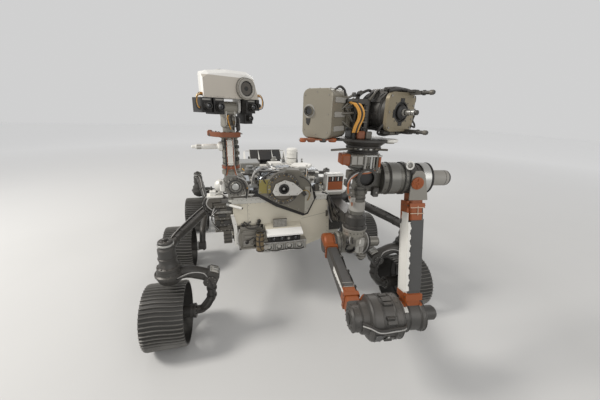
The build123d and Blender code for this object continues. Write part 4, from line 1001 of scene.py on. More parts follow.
for x, y, z, w, d, h, finish in (
    (-262, -606, 1250, 70, 24, 60, FOIL), (-200, -610, 1220, 44, 30, 44, ALLOY),
    (-150, -606, 1278, 52, 22, 50, FOIL), (-20, -588, 1290, 90, 24, 44, FOIL),
    (-60, -590, 1230, 50, 24, 34, FITTING), (20, -590, 1210, 40, 26, 60, FOIL),
    (-250, -500, 1326, 110, 120, 22, FOIL), (-130, -480, 1326, 60, 100, 18, WHITE),
    (-20, -490, 1344, 110, 110, 18, FOIL), (300, -640, 1310, 34, 34, 14, WHITE),
    (200, -610, 1228, 60, 60, 14, FOIL), (-350, -700, 1214, 70, 90, 14, ALLOY),
    (-440, -430, 1226, 60, 120, 16, FITTING),
):
    deck.box((x, y, z), (w, d, h), finish, 4, turn=("Z", rng.uniform(-9, 9)))
# Foil sheets whose facets take random finishes: the foil facets are the sheet's own, and the grey, dark
# and black facets are painted reflection, standing for foil that mirrors darker surroundings.
foil_and_dark_reflection_facets = (FOIL, FOIL, FOIL, PALE_GREY, CLUTTER, CABLE, CAMERA)
deck.crinkled(262, 186, 22, foil_and_dark_reflection_facets, facing(-196, -602, 1222))
deck.crinkled(158, 196, 22, foil_and_dark_reflection_facets, facing(-18, -582, 1228))
deck.crinkled(262, 196, 26, foil_and_dark_reflection_facets, shift(-196, -500, 1320))
deck.crinkled(158, 178, 20, foil_and_dark_reflection_facets, shift(-18, -490, 1338))
deck.crinkled(100, 92, 14, foil_and_dark_reflection_facets, facing(-350, -772, 1168))
deck.crinkled(120, 76, 16, foil_and_dark_reflection_facets, facing(222, -662, 1166))
deck.boxes((
    ((-196, -596, 1330), (270, 10, 8), WHITE, 2), ((-18, -578, 1346), (166, 10, 8), WHITE, 2),
    ((-439.5, -806, 1160), (259, 18, 13), WHITE, 2), ((-445, -806, 1140), (230, 18, 13), CLUTTER, 2),
))
for x in (-560, -480, -400, -320):
    deck.box((x, -804, 1140), (12, 10, 44), CLUTTER, 2)
deck.boxes((
    ((-706, -758, 1122), (112, 92, 46), CLUTTER, 4), ((-700, -760, 1154), (140, 104, 20), WHITE, 4),
    ((-716, -768, 1184), (54, 60, 44), WHITE, 5), ((-660, -770, 1176), (34, 50, 28), PALE_GREY, 4),
))
deck.cap([(10, 0), (10, 20), (6, 24), (6, 34)], FITTING, 14, shift(-728, -760, 1206))
deck.wires((
    (7, CABLE, (-756, -770, 1160), (-786, -780, 1120), (-790, -780, 1060), (-760, -790, 1010),
     (-716, -800, 990)),
    (6, CABLE, (-762, -760, 1150), (-800, -764, 1100), (-806, -770, 1040), (-776, -780, 980),
     (-716, -800, 960)),
    (5, PALE_CABLE, (-740, -800, 1160), (-770, -812, 1120), (-772, -812, 1080), (-740, -812, 1040),
     (-712, -806, 1030)),
))
deck.rod((212, -560, 1210), (212, -560, 1360), 4, WHITE, 10)
deck.lathe([(0, 0), (9, 0), (11, 4), (11, 14), (6, 20), (0, 22)], WHITE, 16, shift(212, -560, 1356))
for x, y, z, w, h, finish in (
    (-280, -616, 1196, 34, 26, CAMERA), (-206, -616, 1258, 40, 22, CAMERA),
    (-136, -616, 1186, 30, 34, PALE_GREY), (-40, -602, 1270, 44, 26, CAMERA),
    (24, -602, 1196, 30, 40, PALE_GREY), (160, -650, 1246, 40, 30, CAMERA),
    (244, -650, 1240, 34, 24, CLUTTER), (290, -670, 1160, 40, 60, CLUTTER),
    (330, -670, 1150, 30, 44, PALE_GREY), (262, -670, 1150, 30, 50, CAMERA),
):
    deck.box((x, y, z), (w, 34, h), finish, 3)
face = facing(473, -716, DECK_Z)
deck.boxes((
    ((0, 62, 6), (158, 84, 12), ORANGE, 4), ((0, 130, 3), (158, 56, 6), BLACK, 2),
), face)
for k in range(5):
    deck.box((-60 + 30 * k, 132, 8), (8, 40, 5), WHITE if k % 2 else RUST_TRAY, 2, face)
deck.box((0, 8, 14), (206, 18, 46), WHITE, 3, face)
for x in (-86, 86):
    deck.box((x, 92, 5), (14, 160, 10), WHITE, 2, face)
deck.box((0, 166, 6), (186, 14, 12), WHITE, 2, face)
for x, y in ((-520, 640), (-520, 300), (520, 560), (520, -160), (200, 60), (-200, 60), (-560, -300)):
    deck.lathe([(0, 0), (22, 0), (22, 4), (12, 8), (12, 16), (0, 18)], ALLOY, 20, shift(x, y, DECK_Z))
for x in (-576, 576):
    deck.bolts([shift(x, y, DECK_Z) for y in range(-660, 740, 70)], 3, 3, BOLT)
deck.done("bare_alloy")


# Sides and rear of the body

sides = Piece("side_fittings", "chassis")
for side in (1, -1):
    s = mirror(side)
    for y0, y1 in ((-580, -450), (-210, 130), (170, 400), (440, 670)):
        middle = (y0 + y1) / 2
        sides.box(s(563, middle, 860), (6, y1 - y0, 250), BODY_SKIN, 2)
        sides.bolts([shift(*s(566, y, z)) @ spin(90 * side, "Y")
                     for y in (y0 + 10, middle, y1 - 10) for z in (746, 974)], 3, 3, BOLT)
    for y, z, finish, cable in (
        (-60, 880, GREY, PALE_CABLE), (60, 800, FITTING, CABLE), (250, 900, PALE_GREY, PALE_CABLE),
        (560, 820, GREY, CABLE),
    ):
        sides.box(s(579, y, z), (34, 70, 60), finish, 4)
        sides.wire([s(583, y + 30, z), s(595, y + 60, z + 10), s(589, y + 90, z + 60),
                    s(577, y + 110, z + 120)], 6, cable)
    for z, r, finish in ((1000, 8, CABLE), (1020, 6, PALE_CABLE)):
        sides.wire([s(573, -640, z), s(575, -460, z), s(671, -330, z + 30), s(585, -200, z),
                    s(577, 100, z - 8), s(577, 420, z), s(573, 700, z - 4)], r, finish)
rear = shift(0, 760, 0) @ REAR
for x0, x1 in ((-520, -290), (-270, 270), (290, 520)):
    middle = (x0 + x1) / 2
    sides.box((middle, 763, 870), (x1 - x0, 6, 380), BODY_SKIN, 2)
    sides.bolts([rear @ shift(-x, z, 6) for x in (x0 + 14, middle, x1 - 14) for z in (700, 870, 1040)],
                3, 3, BOLT)
for side in (1, -1):
    s = mirror(side)
    sides.wires((
        (9, PALE_CABLE, s(200, 766, 1040), s(210, 820, 1060), s(240, 900, 1100), s(316, 1010, 1090)),
        (9, PALE_CABLE, s(170, 766, 720), s(190, 830, 690), s(240, 940, 700), s(316, 1060, 760)),
        (9, PALE_CABLE, s(230, 766, 1040), s(236, 830, 1050), s(262, 900, 1080), s(318, 990, 1060)),
    ))
    for k in range(6):
        sides.box((side * 318.5, -170 + 68 * k, 20), (3, 12, 470), PALE_GREY, 1, POWER)
sides.done("white_paint")

power = Piece("power_source_fittings", "chassis", POWER)
for z in (-230, -80, 80, 230):
    power.collar((131, 138), (z, z + 14), 2, GREY)
power.ring_bolts(shift(0, 0, 292), 118, 18, 4, 5, BOLT)
power.cap([(96, 292), (96, 300), (60, 306)], GREY, 48)
for n in range(8):
    power.box((283, 0, 0), (8, 16, 516), BLACK, 3, spin(n * 45 + 22.5, "Z"))
power.box((0, -268, 150), (500, 5, 220), BLACK, 2)
for x in (-249, 249):
    power.box((x, -270, 150), (8, 14, 226), PALE_GREY, 2)
    for z in (60, 240):
        power.box((x * 1.12, -262, z), (62, 8, 10), PALE_GREY, 2)
for x in (109, -109):
    power.prism([(x - 9, 40), (x + 9, 40), (x, 262)], 5, WHITE, shift(0, -272, 0) @ spin(90, "X"))
power.done("black_paint")


# Suspension

def leg_fittings(side_name, side):
    """Bolted rings, clamps and cable runs of one side's rocker and bogie."""
    p = Piece(f"suspension_fittings_{side_name}", "chassis")
    s = mirror(side)
    for y in (FRONT_AXLE, REAR_AXLE):
        drum = shift(*s(STEER_X, y, 0))
        p.ring_bolts(drum @ shift(0, 0, 945), 34, 8, 4, 5, BOLT)
        p.collar((65, 70), (790, 809), 3, FITTING, 48, drum)
        p.collar((56, 60), (908, 924), 2, ALLOY, 48, drum)
        p.cap([(20, 945), (20, 960), (14, 964)], FITTING, 24, drum)
        p.ring_bolts(drum @ shift(0, 0, 727), 80, 24, 2.6, 4, BOLT)
    to_front = [s(770, -360, 925), s(872, -560, 907), s(985, -860, 884), s(1022, -975, 874),
                s(1040, -1060, 870)]
    to_hinge = [s(786, -300, 922), s(806, -120, 900), s(806, 120, 820), s(812, 340, 710), s(826, 450, 660)]
    to_rear = [s(905, 500, 660), s(950, 640, 720), s(992, 840, 828), s(1010, 930, 856), s(1044, 1060, 862)]
    for line, r in ((to_front, 42), (to_hinge, 36), (to_rear, 36)):
        p.wire([(x, y, z + r + 3) for x, y, z in line], 4.5, PALE_CABLE)
        p.wire([(x - side * 8, y, z + r + 6.6) for x, y, z in line], 4.5, CABLE)
        for a, b in zip(line, line[1:]):
            a, b = Vector(a), Vector(b)
            m = upright((a + b) / 2, b - a)
            p.collar((r + 0.5, r + 4), (-11, 11), 2, FITTING, 32, m)
    pivot = shift(*s(817, -330, 925)) @ spin(90 * side, "Y")
    p.ring_bolts(pivot @ shift(0, 0, 17), 57, 12, 4.5, 6, BOLT)
    p.lathe([(0, 17), (44, 17), (44, 22), (30, 27), (0, 28)], ALLOY, 40, pivot)
    hinge = shift(*s(942, 480, 640)) @ spin(90 * side, "Y")
    p.ring_bolts(hinge, 56, 10, 5, 6, BOLT)
    p.lathe([(0, 0), (38, 0), (38, 8), (24, 14), (0, 15)], ALLOY, 40, hinge)
    p.wire([s(900, 440, 600), s(944, 200, 520), s(962, 90, 470), s(966, 40, 380), s(946, 10, 300)], 5,
           CABLE)
    p.collar((51, 58), (-8, 8), 2, ALLOY, 40, shift(*s(1000, 0, WHEEL_R)) @ ACROSS)
    p.done("graphite_tube")


for side_name, side in SIDES:
    leg_fittings(side_name, side)

bar = Piece("balance_bar_fittings", "chassis")
bar.ring_bolts(shift(0, -40, 1206), 34, 8, 4, 5, BOLT)
for side in (1, -1):
    for x in (140, 300, 460):
        bar.box((side * x, -40, 1183), (60, 26, 4), ALLOY, 1)
        bar.bolts([shift(side * x + d, -40, 1185) for d in (-20, 20)], 3, 3, BOLT)
    bar.collar((15, 20), (-9, 9), 2, ALLOY, 24, upright((side * 646, -182, 1120),
                                                        Vector((side * 93, -284, -91))))
bar.done("graphite_tube")


# Steering necks

def neck_fittings(end, axle, side_name, side):
    """Bolts, clamps and cables of one steering drive and its neck."""
    p = Piece(f"steering_neck_fittings_{end}_{side_name}", f"steering_{end}_{side_name}")
    s = mirror(side, axle)
    drum = shift(*s(STEER_X, 0, 0))
    p.lathe([(106, 655), (110, 658), (110, 670), (104, 674)], FITTING, 48, drum)
    clear = [a for a in (math.pi * k / 12 for k in range(24)) if side * math.cos(a) > -0.93]
    p.bolts([drum @ shift(93 * math.cos(a), 93 * math.sin(a), 676) for a in clear], 3, 4, BOLT)
    p.lathe([(0, 560), (30, 560), (34, 566)], ALLOY, 32, drum)
    p.ring_bolts(drum @ shift(0, 0, 566) @ spin(180, "X"), 38, 8, 3.4, 5, BOLT)
    knuckle = shift(*s(752, 0, 585)) @ spin(-24 * side, "Y")
    p.boxes((
        ((0, 0, 68), (70, 80, 8), PALE_GREY, 2), ((side * -8, 0, 78), (44, 40, 16), ALLOY, 3),
    ), knuckle)
    p.bolts([knuckle @ shift(dx, dy, 72) for dx in (-28, 28) for dy in (-32, 0, 32)], 4, 5, BOLT)
    for flip in (1, -1):
        m = knuckle @ shift(0, -63 * flip, 0) @ spin(90 * flip, "X")
        p.cap([(36, 0), (36, 4), (30, 6)], FITTING, 32, m)
        p.ring_bolts(m @ shift(0, 0, 4), 31, 8, 3, 4, BOLT)
    for x, z in ((760, 470), (765, 400)):
        p.collar((36, 42), (-10, 10), 2, FITTING, 32, shift(*s(x, 0, z)))
    p.wires((
        (5, CABLE, s(1000, -84, 640), s(900, -72, 668), s(800, -70, 640), s(756, -72, 560),
         s(744, -56, 480), s(752, -44, 380), s(800, -44, 300), s(880, -50, 282)),
        (4.5, PALE_CABLE, s(1000, -76, 648), s(900, -64, 676), s(806, -60, 656), s(770, -70, 600)),
    ))
    hub = shift(*s(908, 0, WHEEL_R)) @ spin(-90 * side, "Y")
    p.ring_bolts(hub @ shift(0, 0, 8), 50, 10, 3.4, 5, BOLT)
    p.done("dark_fitting")


for end, axle in (("front", FRONT_AXLE), ("rear", REAR_AXLE)):
    for side_name, side in SIDES:
        neck_fittings(end, axle, side_name, side)


# Mast

HINGE_Z = 1262

mast = Piece("mast_fittings", "chassis", MAST)
for z in (1416, 1436):
    mast.bolts([outward(75.5, math.pi * n / 8, z) for n in range(16)], 3, 3.5, BOLT)
for z in (1456, 1500, 1590, 1640):
    mast.collar((66.5, 69), (z, z + 10), 1, FITTING)
for z in (1470, 1530, 1610, 1656):
    mast.box((0, -76, z), (50, 6, 10), WHITE, 2)
    mast.bolts([ahead(x, -79, z) for x in (-18, 18)], 2.6, 3, BOLT)
for x, finish in ((-25, RUST_CABLE), (25, RUST_CABLE), (-31, CABLE), (32, PALE_CABLE)):
    mast.wire([(x, -70, 1690), (x, -70, 1600), (x * 1.05, -69, 1520), (x, -70, 1450),
               (x * 1.3, -74, 1392), (x * 1.6, -86, 1366)], 4, finish, 18)
for x in (-40, 40):
    mast.wire([(x, -56, 1688), (x, -56, 1590), (x, -56, 1470), (x, -62, 1400)], 4.5, CABLE, 12)
mast.bolts([outward(164, math.radians(a), 1710) for a in (-158, -120, -74)], 4, 4, BOLT)
tray = []
for k in range(23):
    a = math.radians(-176 + 132 * k / 22)
    tray.append((124 * math.cos(a), 124 * math.sin(a), 1712 + 5 * math.sin(k * 1.3)))
mast.wire(tray, 8, RUST_CABLE, 8)
mast.wire([(x * 0.86, y * 0.86, z + 4) for x, y, z in tray], 7, CABLE, 8)
mast.wire([(x * 1.14, y * 1.14, z) for x, y, z in tray], 6, PALE_CABLE, 8)
for a, z, length in ((-176, 1600, 306), (80, 1540, 320)):
    m = outward(0, math.radians(a), z)
    mast.lathe([(40, 62), (40, 78), (34, 92), (20, 100), (20, 112), (22, 116), (22, 214), (17, 220),
                (13, 222)], WHITE, 32, m)
    for k in range(6):
        mast.box((19.4, 0, length - 60), (2.4, 12, 34), GREY, 1, m @ spin(60 * k, "Z"))
for y in (-84, 84):
    m = upright((28, y, HINGE_Z), (0, y, 0))
    mast.cap([(30, 0), (30, 5), (24, 8), (10, 8), (10, 4)], ALLOY, 40, m)
    mast.lathe([(52, 0), (62, 0), (62, 3), (52, 3)], FITTING, 48, m)
    rim = [m @ spin(22.5 * k, "Z") @ shift(84, 0, 0) for k in range(16)]
    mast.bolts([q for q in rim if abs(q.translation.z - HINGE_Z) < 80], 4, 5, BOLT)
    for k in range(14):
        mast.box((73, 0, 1), (14, 9, 4), BLACK if k % 2 else CLUTTER, 1,
                 m @ spin(180 * (k + 0.5) / 7, "Z"))
    mast.lathe([(31, 0), (36, 0), (36, 2), (31, 2)], BLACK, 40, m)
    mast.ring_bolts(m, 42, 8, 3, 4, BOLT)
mast.bolts([shift(x, y, 1190) for x in (-30, 100) for y in (-4, 56, 116)], 6, 8, BOLT)
mast.wires((
    (7, CABLE, (60, -72, 1340), (96, -92, 1300), (120, -80, 1220), (116, -40, 1140)),
    (6, PALE_CABLE, (44, -72, 1350), (112, -90, 1316), (140, -60, 1230), (124, -20, 1140)),
))
mast.boxes((
    ((-84, -20, 1262), (40, 96, 92), WHITE, 10), ((-92, -70, 1300), (22, 22, 30), GREY, 4),
))
for k in range(13):
    mast.box((166, 0, 1708), (9, 32, 38), RUST_TRAY, 3, spin(-176 + 112 * k / 12, "Z"))
mast.boxes((
    ((-150, -36, 1712), (40, 60, 46), RUST_TRAY, 8), ((-146, -76, 1700), (22, 20, 22), CLUTTER, 3),
))
for x, z, finish in ((58, 1640, CLUTTER), (62, 1600, FITTING), (60, 1500, FITTING), (56, 1470, CLUTTER),
                     (64, 1548, CLUTTER)):
    mast.box((x, -44, z), (26, 30, 26), finish, 3)
mast.box((20, -70, 1366), (120, 10, 26), GREY, 3)
mast.bolts([ahead(x, -75, 1366) for x in (-30, 0, 40, 70)], 3.4, 4, BOLT)
mast.done("grey_paint")

neck = Piece("head_neck_fittings", "head_neck", HEAD)
for x in (-39, 39):
    neck.box((x, -41, 1830), (6, 5, 110), WHITE, 1)
neck.boxes((
    ((0, -42, 1848), (64, 6, 30), CLUTTER, 2), ((-20, -44, 1800), (34, 12, 50), CLUTTER, 3),
    ((22, -44, 1792), (26, 10, 34), TAN, 3), ((54, -26, 1800), (18, 40, 90), CAMERA, 4),
    ((60, -46, 1752), (26, 26, 40), FITTING, 4),
))
for k, finish in enumerate((CABLE, FITTING, CABLE, PALE_CABLE)):
    neck.wire([(44 + 5 * k, -38, 1846 - 6 * k), (62 + 4 * k, -46, 1826), (64 + 3 * k, -50, 1786),
               (58 + 5 * k, -50, 1740), (40 + 6 * k, -48, 1720)], 5, finish)
neck.bolts([ahead(x, -40, z) for x in (-30, 0, 30) for z in (1786, 1826)], 3, 3.5, BOLT)
neck.bolts([outward(56, math.pi * n / 6, 1763) for n in range(12)], 3, 3.5, BOLT)
neck.wires((
    (5, AMBER_CABLE, (-20, -42, 1852), (-34, -50, 1836), (-30, -54, 1796), (-20, -54, 1764),
     (-14, -56, 1740)),
    (5, CABLE, (8, -42, 1852), (0, -52, 1832), (4, -54, 1796), (10, -56, 1760), (12, -56, 1738)),
    (4, PALE_CABLE, (26, -42, 1850), (36, -50, 1832), (34, -54, 1796), (26, -56, 1764)),
))
for x in (-72, 72):
    neck.ring_bolts(upright((x, 0, TILT_Z), (x, 0, 0)), 28, 8, 2.6, 3, BOLT)
neck.done("grey_paint")

head = Piece("head_fittings", "head", HEAD)
window = ahead(92, -125, 2052)
head.cap([(54, 14), (54, 16), (30, 17)], WINDOW, 64, window)
head.lathe([(55, 12), (56.5, 12), (56.5, 27), (60, 29), (72, 29), (74, 26), (78, 26), (80.6, 24),
            (80.6, 6)], HEAD_RING, 64, window)
head.lathe([(73, 27), (75, 27.4), (77, 27)], SEAM, 64, window)
head.lathe([(47, 17), (50, 17.5), (52, 20), (55.5, 20)], BLACK, 64, window)
head.lathe([(80.6, 1), (84, 1), (84, 2.6), (80.6, 2.6)], SEAM, 64, window)
head.ring_bolts(window @ shift(0, 0, 28), 66, 16, 1.8, 2.2, BOLT)
head.lathe([(0, 17), (15, 17), (17, 18.5), (14, 19), (0, 18)], BLACK, 32, window)
head.bolts([ahead(x, -125, 1984) for x in (-244, *range(-200, 51, 50))], 1.8, 2.0, BOLT)
head.bolts([ahead(x, -125, z) for x, z in ((-244, 2100), (214, 2000))], 1.8, 2.0, BOLT)
head.box((-40, 20, 2178), (90, 120, 5), PALE_GREY, 2)
head.bolts([shift(x, y, 2176) for x in (-90, -10, 60) for y in (-80, 90)], 3, 2, BOLT)
for sx, x0, low in ((-1, -258, 1896), (1, 232, 1904)):
    for k, (dz, finish, r) in enumerate(((0, AMBER_CABLE, 3.5), (8, BRASS, 3), (-8, CABLE, 3.5))):
        z = low + 46 + dz
        head.wire([(x0 - sx * 4, -96, z + 58), (x0 + sx * (20 + 4 * k), -104, z + 54),
                   (x0 + sx * (40 + 5 * k), -104, z + 20), (x0 + sx * (34 + 4 * k), -102, z - 30),
                   (x0 - sx * 2, -98, z - 46)], r, finish, 10)
    head.box((x0 - sx * 6, -96, low + 104), (20, 34, 16), AMBER_TAPE, 4)
for x, z, r, y in (
    (-238, 1918, 16, -168), (-145, 1914, 20, -170), (146, 1916, 19, -164), (214, 1930, 7, -144),
    (143, 1830, 14, -122),
):
    m = ahead(x, y, z)
    head.lathe([(0, -5), (r - 1, -5), (r * 0.6, -2), (0, -0.5)], GLASS, 40, m)
    head.lathe([(r + 1, -3), (r + 6.5, -3), (r + 7, 2), (r + 3, 3), (r + 1, 0)], FITTING, 40, m)
    head.ring_bolts(m @ shift(0, 0, 1), r + 4, 6, 1.3, 2.4, BOLT)
for x, y in ((-238, -126), (-145, -138), (146, -122)):
    head.box((x, y, 1962), (64, 6, 12), GREY, 2)
    head.bolts([ahead(x + d, y - 3, 1962) for d in (-26, 26)], 2.4, 2.6, BOLT)
for x, finish in ((-196, PALE_CABLE), (-184, CABLE)):
    head.wire([(x, 14, 1900), (x + 20, 40, 1920), (x + 60, 50, 1960), (x + 90, 40, 1990)], 5, finish)
head.wire([(146, 30, 1850), (140, 66, 1880), (120, 70, 1950), (100, 60, 1990)], 5, CABLE)
head.done("white_paint")


# Antenna

fork = Piece("antenna_fittings", "antenna_turn", shift(212, -350, 1262))
fork.ring_bolts(shift(0, 0, -52), 30, 8, 3, 4, BOLT)
for side, finish in ((1, AMBER_CABLE), (-1, CABLE)):
    fork.wire([(side * 20, -30, -66), (side * 44, -44, -40), (side * 60, -30, -10), (side * 58, -8, 6)],
              4.5, finish)
fork.done("dark_fitting")


# Bands of the radio antenna

radio = Piece("radio_antenna_fittings", "chassis", shift(330, 640, 0))
for z in (1146, 1182, 1232):
    radio.collar((79, 82.5), (z, z + 9), 1, GREY)
radio.done("white_paint")


# Arm: shoulder

def bands(piece, rings, place=ACROSS, count=64):
    """Thin raised bands round an axis, from place and radius pairs."""
    for u, r in rings:
        piece.collar((r - 2, r + 2), (u - 3, u + 3), 1, FITTING, count, place)


def studs(piece, rows):
    """Rows of bolt heads round the arm's X, from place, radius and count."""
    for u, r, n in rows:
        for k in range(n):
            c, s = math.cos(2 * math.pi * k / n), math.sin(2 * math.pi * k / n)
            piece.bolts([upright((u, r * c, r * s), (0, c, s))], 3, 3.5, DARK_BOLT)


shoulder = Piece("arm_shoulder_fittings", "arm_shoulder", ARM)
bowl = shift(60, -60, 0)
shoulder.collar((104, 108), (184, 191), 1, GREY, 64, bowl)
shoulder.bolts([bowl @ outward(104, math.pi * n / 10, 160) for n in range(20)], 3.4, 4, DARK_BOLT)
bands(shoulder, ((-87, 92), (-55, 105), (-37, 98), (62, 98), (108, 105), (154, 98), (214, 88)))
shoulder.ring_bolts(shift(226, 0, 0) @ ACROSS, 66, 12, 4, 5, BOLT)
studs(shoulder, ((-62, 105, 16), (130, 105, 20)))
motor = shift(176, -8, 0)
for z in (-90, -124, -150):
    shoulder.collar((38, 48), (z, z + 10), 1, GREY, 40, motor)
shoulder.cap([(20, -170), (20, -186), (14, -190)], FITTING, 24, motor)
shoulder.boxes((
    ((112, -104, 18), (76, 16, 150), PALE_GREY, 4), ((98, -114, 60), (34, 10, 40), WHITE, 2),
    ((124, -114, -20), (30, 8, 54), GREY, 2),
))
shoulder.bolts([ahead(x, -112, z) for x in (80, 144) for z in (-46, 10, 84)], 4, 5, BOLT)
hole = ahead(28, -98, -14)
shoulder.lathe([(0, -6), (34, -6), (34, 10), (38, 14), (44, 12), (46, 4), (46, -20)], BLACK, 48, hole)
shoulder.ring_bolts(hole @ shift(0, 0, 11), 41, 10, 2.4, 3, BOLT)
shoulder.boxes((
    ((10, -100, 66), (54, 16, 34), GREY, 3), ((-30, -104, 30), (26, 12, 60), CLUTTER, 3),
))
for x, finish in ((-24, CABLE), (2, PALE_CABLE), (28, CABLE)):
    shoulder.wire([(x, -140, 130), (x - 6, -152, 90), (x + 4, -134, 60), (x + 20, -116, 50),
                   (x + 34, -108, 84)], 5.5, finish)
shoulder.wires((
    (6, CABLE, (150, -50, 150), (190, -80, 120), (210, -100, 40), (200, -90, -40), (180, -54, -100)),
    (5, PALE_CABLE, (140, -60, 150), (176, -92, 112), (192, -106, 40), (186, -96, -30), (172, -58, -92)),
))
shoulder.done("dark_fitting")


# Arm: links

def link_fittings(name, body, place, length, near, far):
    """Clamps and cables along a link's -Y, from its widths and heights at both ends."""
    p = Piece(name, body, place)
    for t in (0.3, 0.5, 0.7):
        y = -length * t
        w = (near[0] + (far[0] - near[0]) * t) / 2
        h = (near[1] + (far[1] - near[1]) * t) / 2
        p.boxes((
            ((w + 3, y, 0), (8, 26, 2 * h - 30), GREY, 2), ((w + 16, y, 8), (24, 18, 44), FITTING, 3),
        ))
    for k, finish in enumerate((CABLE, PALE_CABLE, CABLE, CABLE)):
        line = []
        for i in range(11):
            t = 0.16 + 0.66 * i / 10
            w = (near[0] + (far[0] - near[0]) * t) / 2
            line.append((w + 13 + 3 * math.sin(i * 1.7 + k), -length * t, -12 + 13 * k
                         + 3 * math.sin(i * 1.1 + 2 * k)))
        p.wire(line, 5, finish, 6)
    return p


upper = link_fittings("upper_arm_fittings", "arm_upper", UPPER, UPPER_LEN, (88, 110), (96, 116))
upper.box((0, -UPPER_LEN / 2 + 20, 66), (58, UPPER_LEN - 380, 3), LINK_PANEL, 1)
upper.bolts([shift(x, -180 - 48 * k, 65) for x in (-32, 32) for k in range(9)], 2.4, 2.6, DARK_BOLT)
for y in (-128, -UPPER_LEN + 150):
    for x in (-52.5, 52.5):
        upper.bolts([upright((x, y, z), (x, 0, 0)) for z in (-44, -15, 15, 44)], 4, 4, DARK_BOLT)
edge = [(-400 - 270 * k / 24, 10 + 26 * k / 24 + 5 * math.sin(k * 1.7)) for k in range(25)]
upper.prism(ribbon(edge, 50), 4, LINK_STRIP, shift(-46, 0, 0) @ STARBOARD)
for y in (-600, -640):
    upper.box((0, y, 67), (78, 5, 3), GREY, 1)
upper.done("graphite_tube")

elbow = Piece("elbow_fittings", "arm_upper", ELBOW)
bands(elbow, ((-196, 85), (-150, 85), (-88, 138), (-32, 138), (54, 138), (94, 138)), count=72)
studs(elbow, ((-172, 84, 12), (74, 138, 24)))
elbow.cap([(36, -214), (36, -220), (20, -226)], FITTING, 40, ACROSS)
elbow.ring_bolts(shift(-212, 0, 0) @ spin(-90, "Y"), 58, 10, 3.6, 6, DARK_BOLT)
for k in range(10):
    a = math.pi * k / 5
    elbow.box((10, 132 * math.cos(a), 132 * math.sin(a)), (50, 22, 22), FITTING, 2)
for k in range(7):
    elbow.box((-4 + 9 * (k % 3), 133, 0), (16, 10, 16), ALLOY if k % 2 else CLUTTER, 2,
              spin(186 + 14 * k, "X"))
for a in (196, 226, 262):
    q = spin(a, "X")
    elbow.box((-60, 139, 0), (46, 6, 54), LINK_PANEL, 2, q)
    elbow.bolts([q @ upright((-60 + dx, 142, dz), (0, 1, 0)) for dx in (-17, 17) for dz in (-20, 20)],
                2.6, 3, BOLT)
elbow.wires((
    (6, CABLE, (-150, -90, 40), (-120, -128, 50), (-60, -146, 30), (20, -150, 40), (90, -146, 44),
     (108, -110, 40)),
    (5, PALE_CABLE, (-150, -92, 20), (-116, -130, 34), (-60, -147, 14), (20, -151, 22), (90, -147, 28),
     (108, -112, 24)),
))
elbow.done("graphite_tube")

fore = link_fittings("forearm_fittings", "arm_fore", FORE, FORE_LEN, (96, 104), (82, 92))
fore.box((3, -408, -50), (84, 450, 5), LINK_PANEL, 1)
fore.bolts([shift(x, -200 - 52 * k, -52.5) @ spin(180, "X")
            for x in (-24, 38) for k in range(9)], 2.2, 2.6, DARK_BOLT)
edge = [(-180 - 500 * k / 40, 20 + 4 * math.sin(k * 1.9)) for k in range(41)]
fore.prism(ribbon(edge, -52), 3, LINK_STRIP, shift(-57, 0, 0) @ STARBOARD)
wave = [(-41 + 4 * math.sin(k * 0.83) + 2 * math.sin(k * 2.1), -184 - 440 * k / 60) for k in range(61)]
fore.prism(wave + [(-58, y) for x, y in reversed(wave)], 5, LINK_STRIP, shift(0, 0, -57))
for y in (-140, -FORE_LEN + 168):
    for x in (-54, 54):
        fore.bolts([upright((x, y, z), (x, 0, 0)) for z in (-40, -14, 14, 40)], 3.6, 4, DARK_BOLT)
for y in (-676, -712):
    fore.box((0, y, -52), (88, 5, 4), PALE_ORANGE, 1)
fore.box((4, -694, -52), (4, 60, 3), PALE_ORANGE, 1)
fore.done("graphite_tube")


def forearm_end(name, place, rings, rows, end_u):
    """Bands and bolts round one end of the forearm, and its end cap."""
    p = Piece(name, "arm_fore", place)
    bands(p, rings)
    studs(p, rows)
    p.cap([(26, end_u), (26, end_u + 3), (18, end_u + 5)], FITTING, 32, ACROSS)
    p.ring_bolts(shift(end_u - 1, 0, 0) @ ACROSS, 31, 8, 2.6, 4, BOLT)
    return p


foot = forearm_end("forearm_foot_fittings", ELBOW,
                   ((119, 104), (148, 104), (160, 96), (228, 96), (260, 104)),
                   ((133, 104, 16), (250, 104, 16)), 370)
foot.done("graphite_tube")

top = forearm_end("forearm_top_fittings", ARM @ shift(0, WRIST_Y, WRIST_Z),
                  ((128, 92), (172, 92), (222, 92), (380, 46)), ((150, 92, 14),), 418)
top.collar((92, 95), (204, 255), 3, ALLOY, 64, ACROSS)
top.lathe([(92, 257), (96, 259), (96, 266), (80, 270), (74, 276), (47, 276)], BLACK, 64, ACROSS)
top.collar((46.5, 48), (284, 400), 2, GREY, 48, ACROSS)
top.prism([(126, -112), (244, -112), (226, -40), (200, 46), (180, 66), (140, 66), (124, 40), (122, -40)],
          8, TAUPE, shift(0, -92, 0) @ FRONT)
top.cap([(34, 0), (37, 3), (37, 9), (31, 12), (16, 12), (12, 15)], ORANGE, 48, ahead(158, -100, -6))
top.ring_bolts(ahead(158, -109, -6), 26, 8, 2.4, 3, DARK_BOLT)
for w, h in ((62, 10), (10, 62)):
    top.box((158, -113, -6), (w, 6, h), ORANGE, 2)
top.done("graphite_tube")


# Arm: wrist

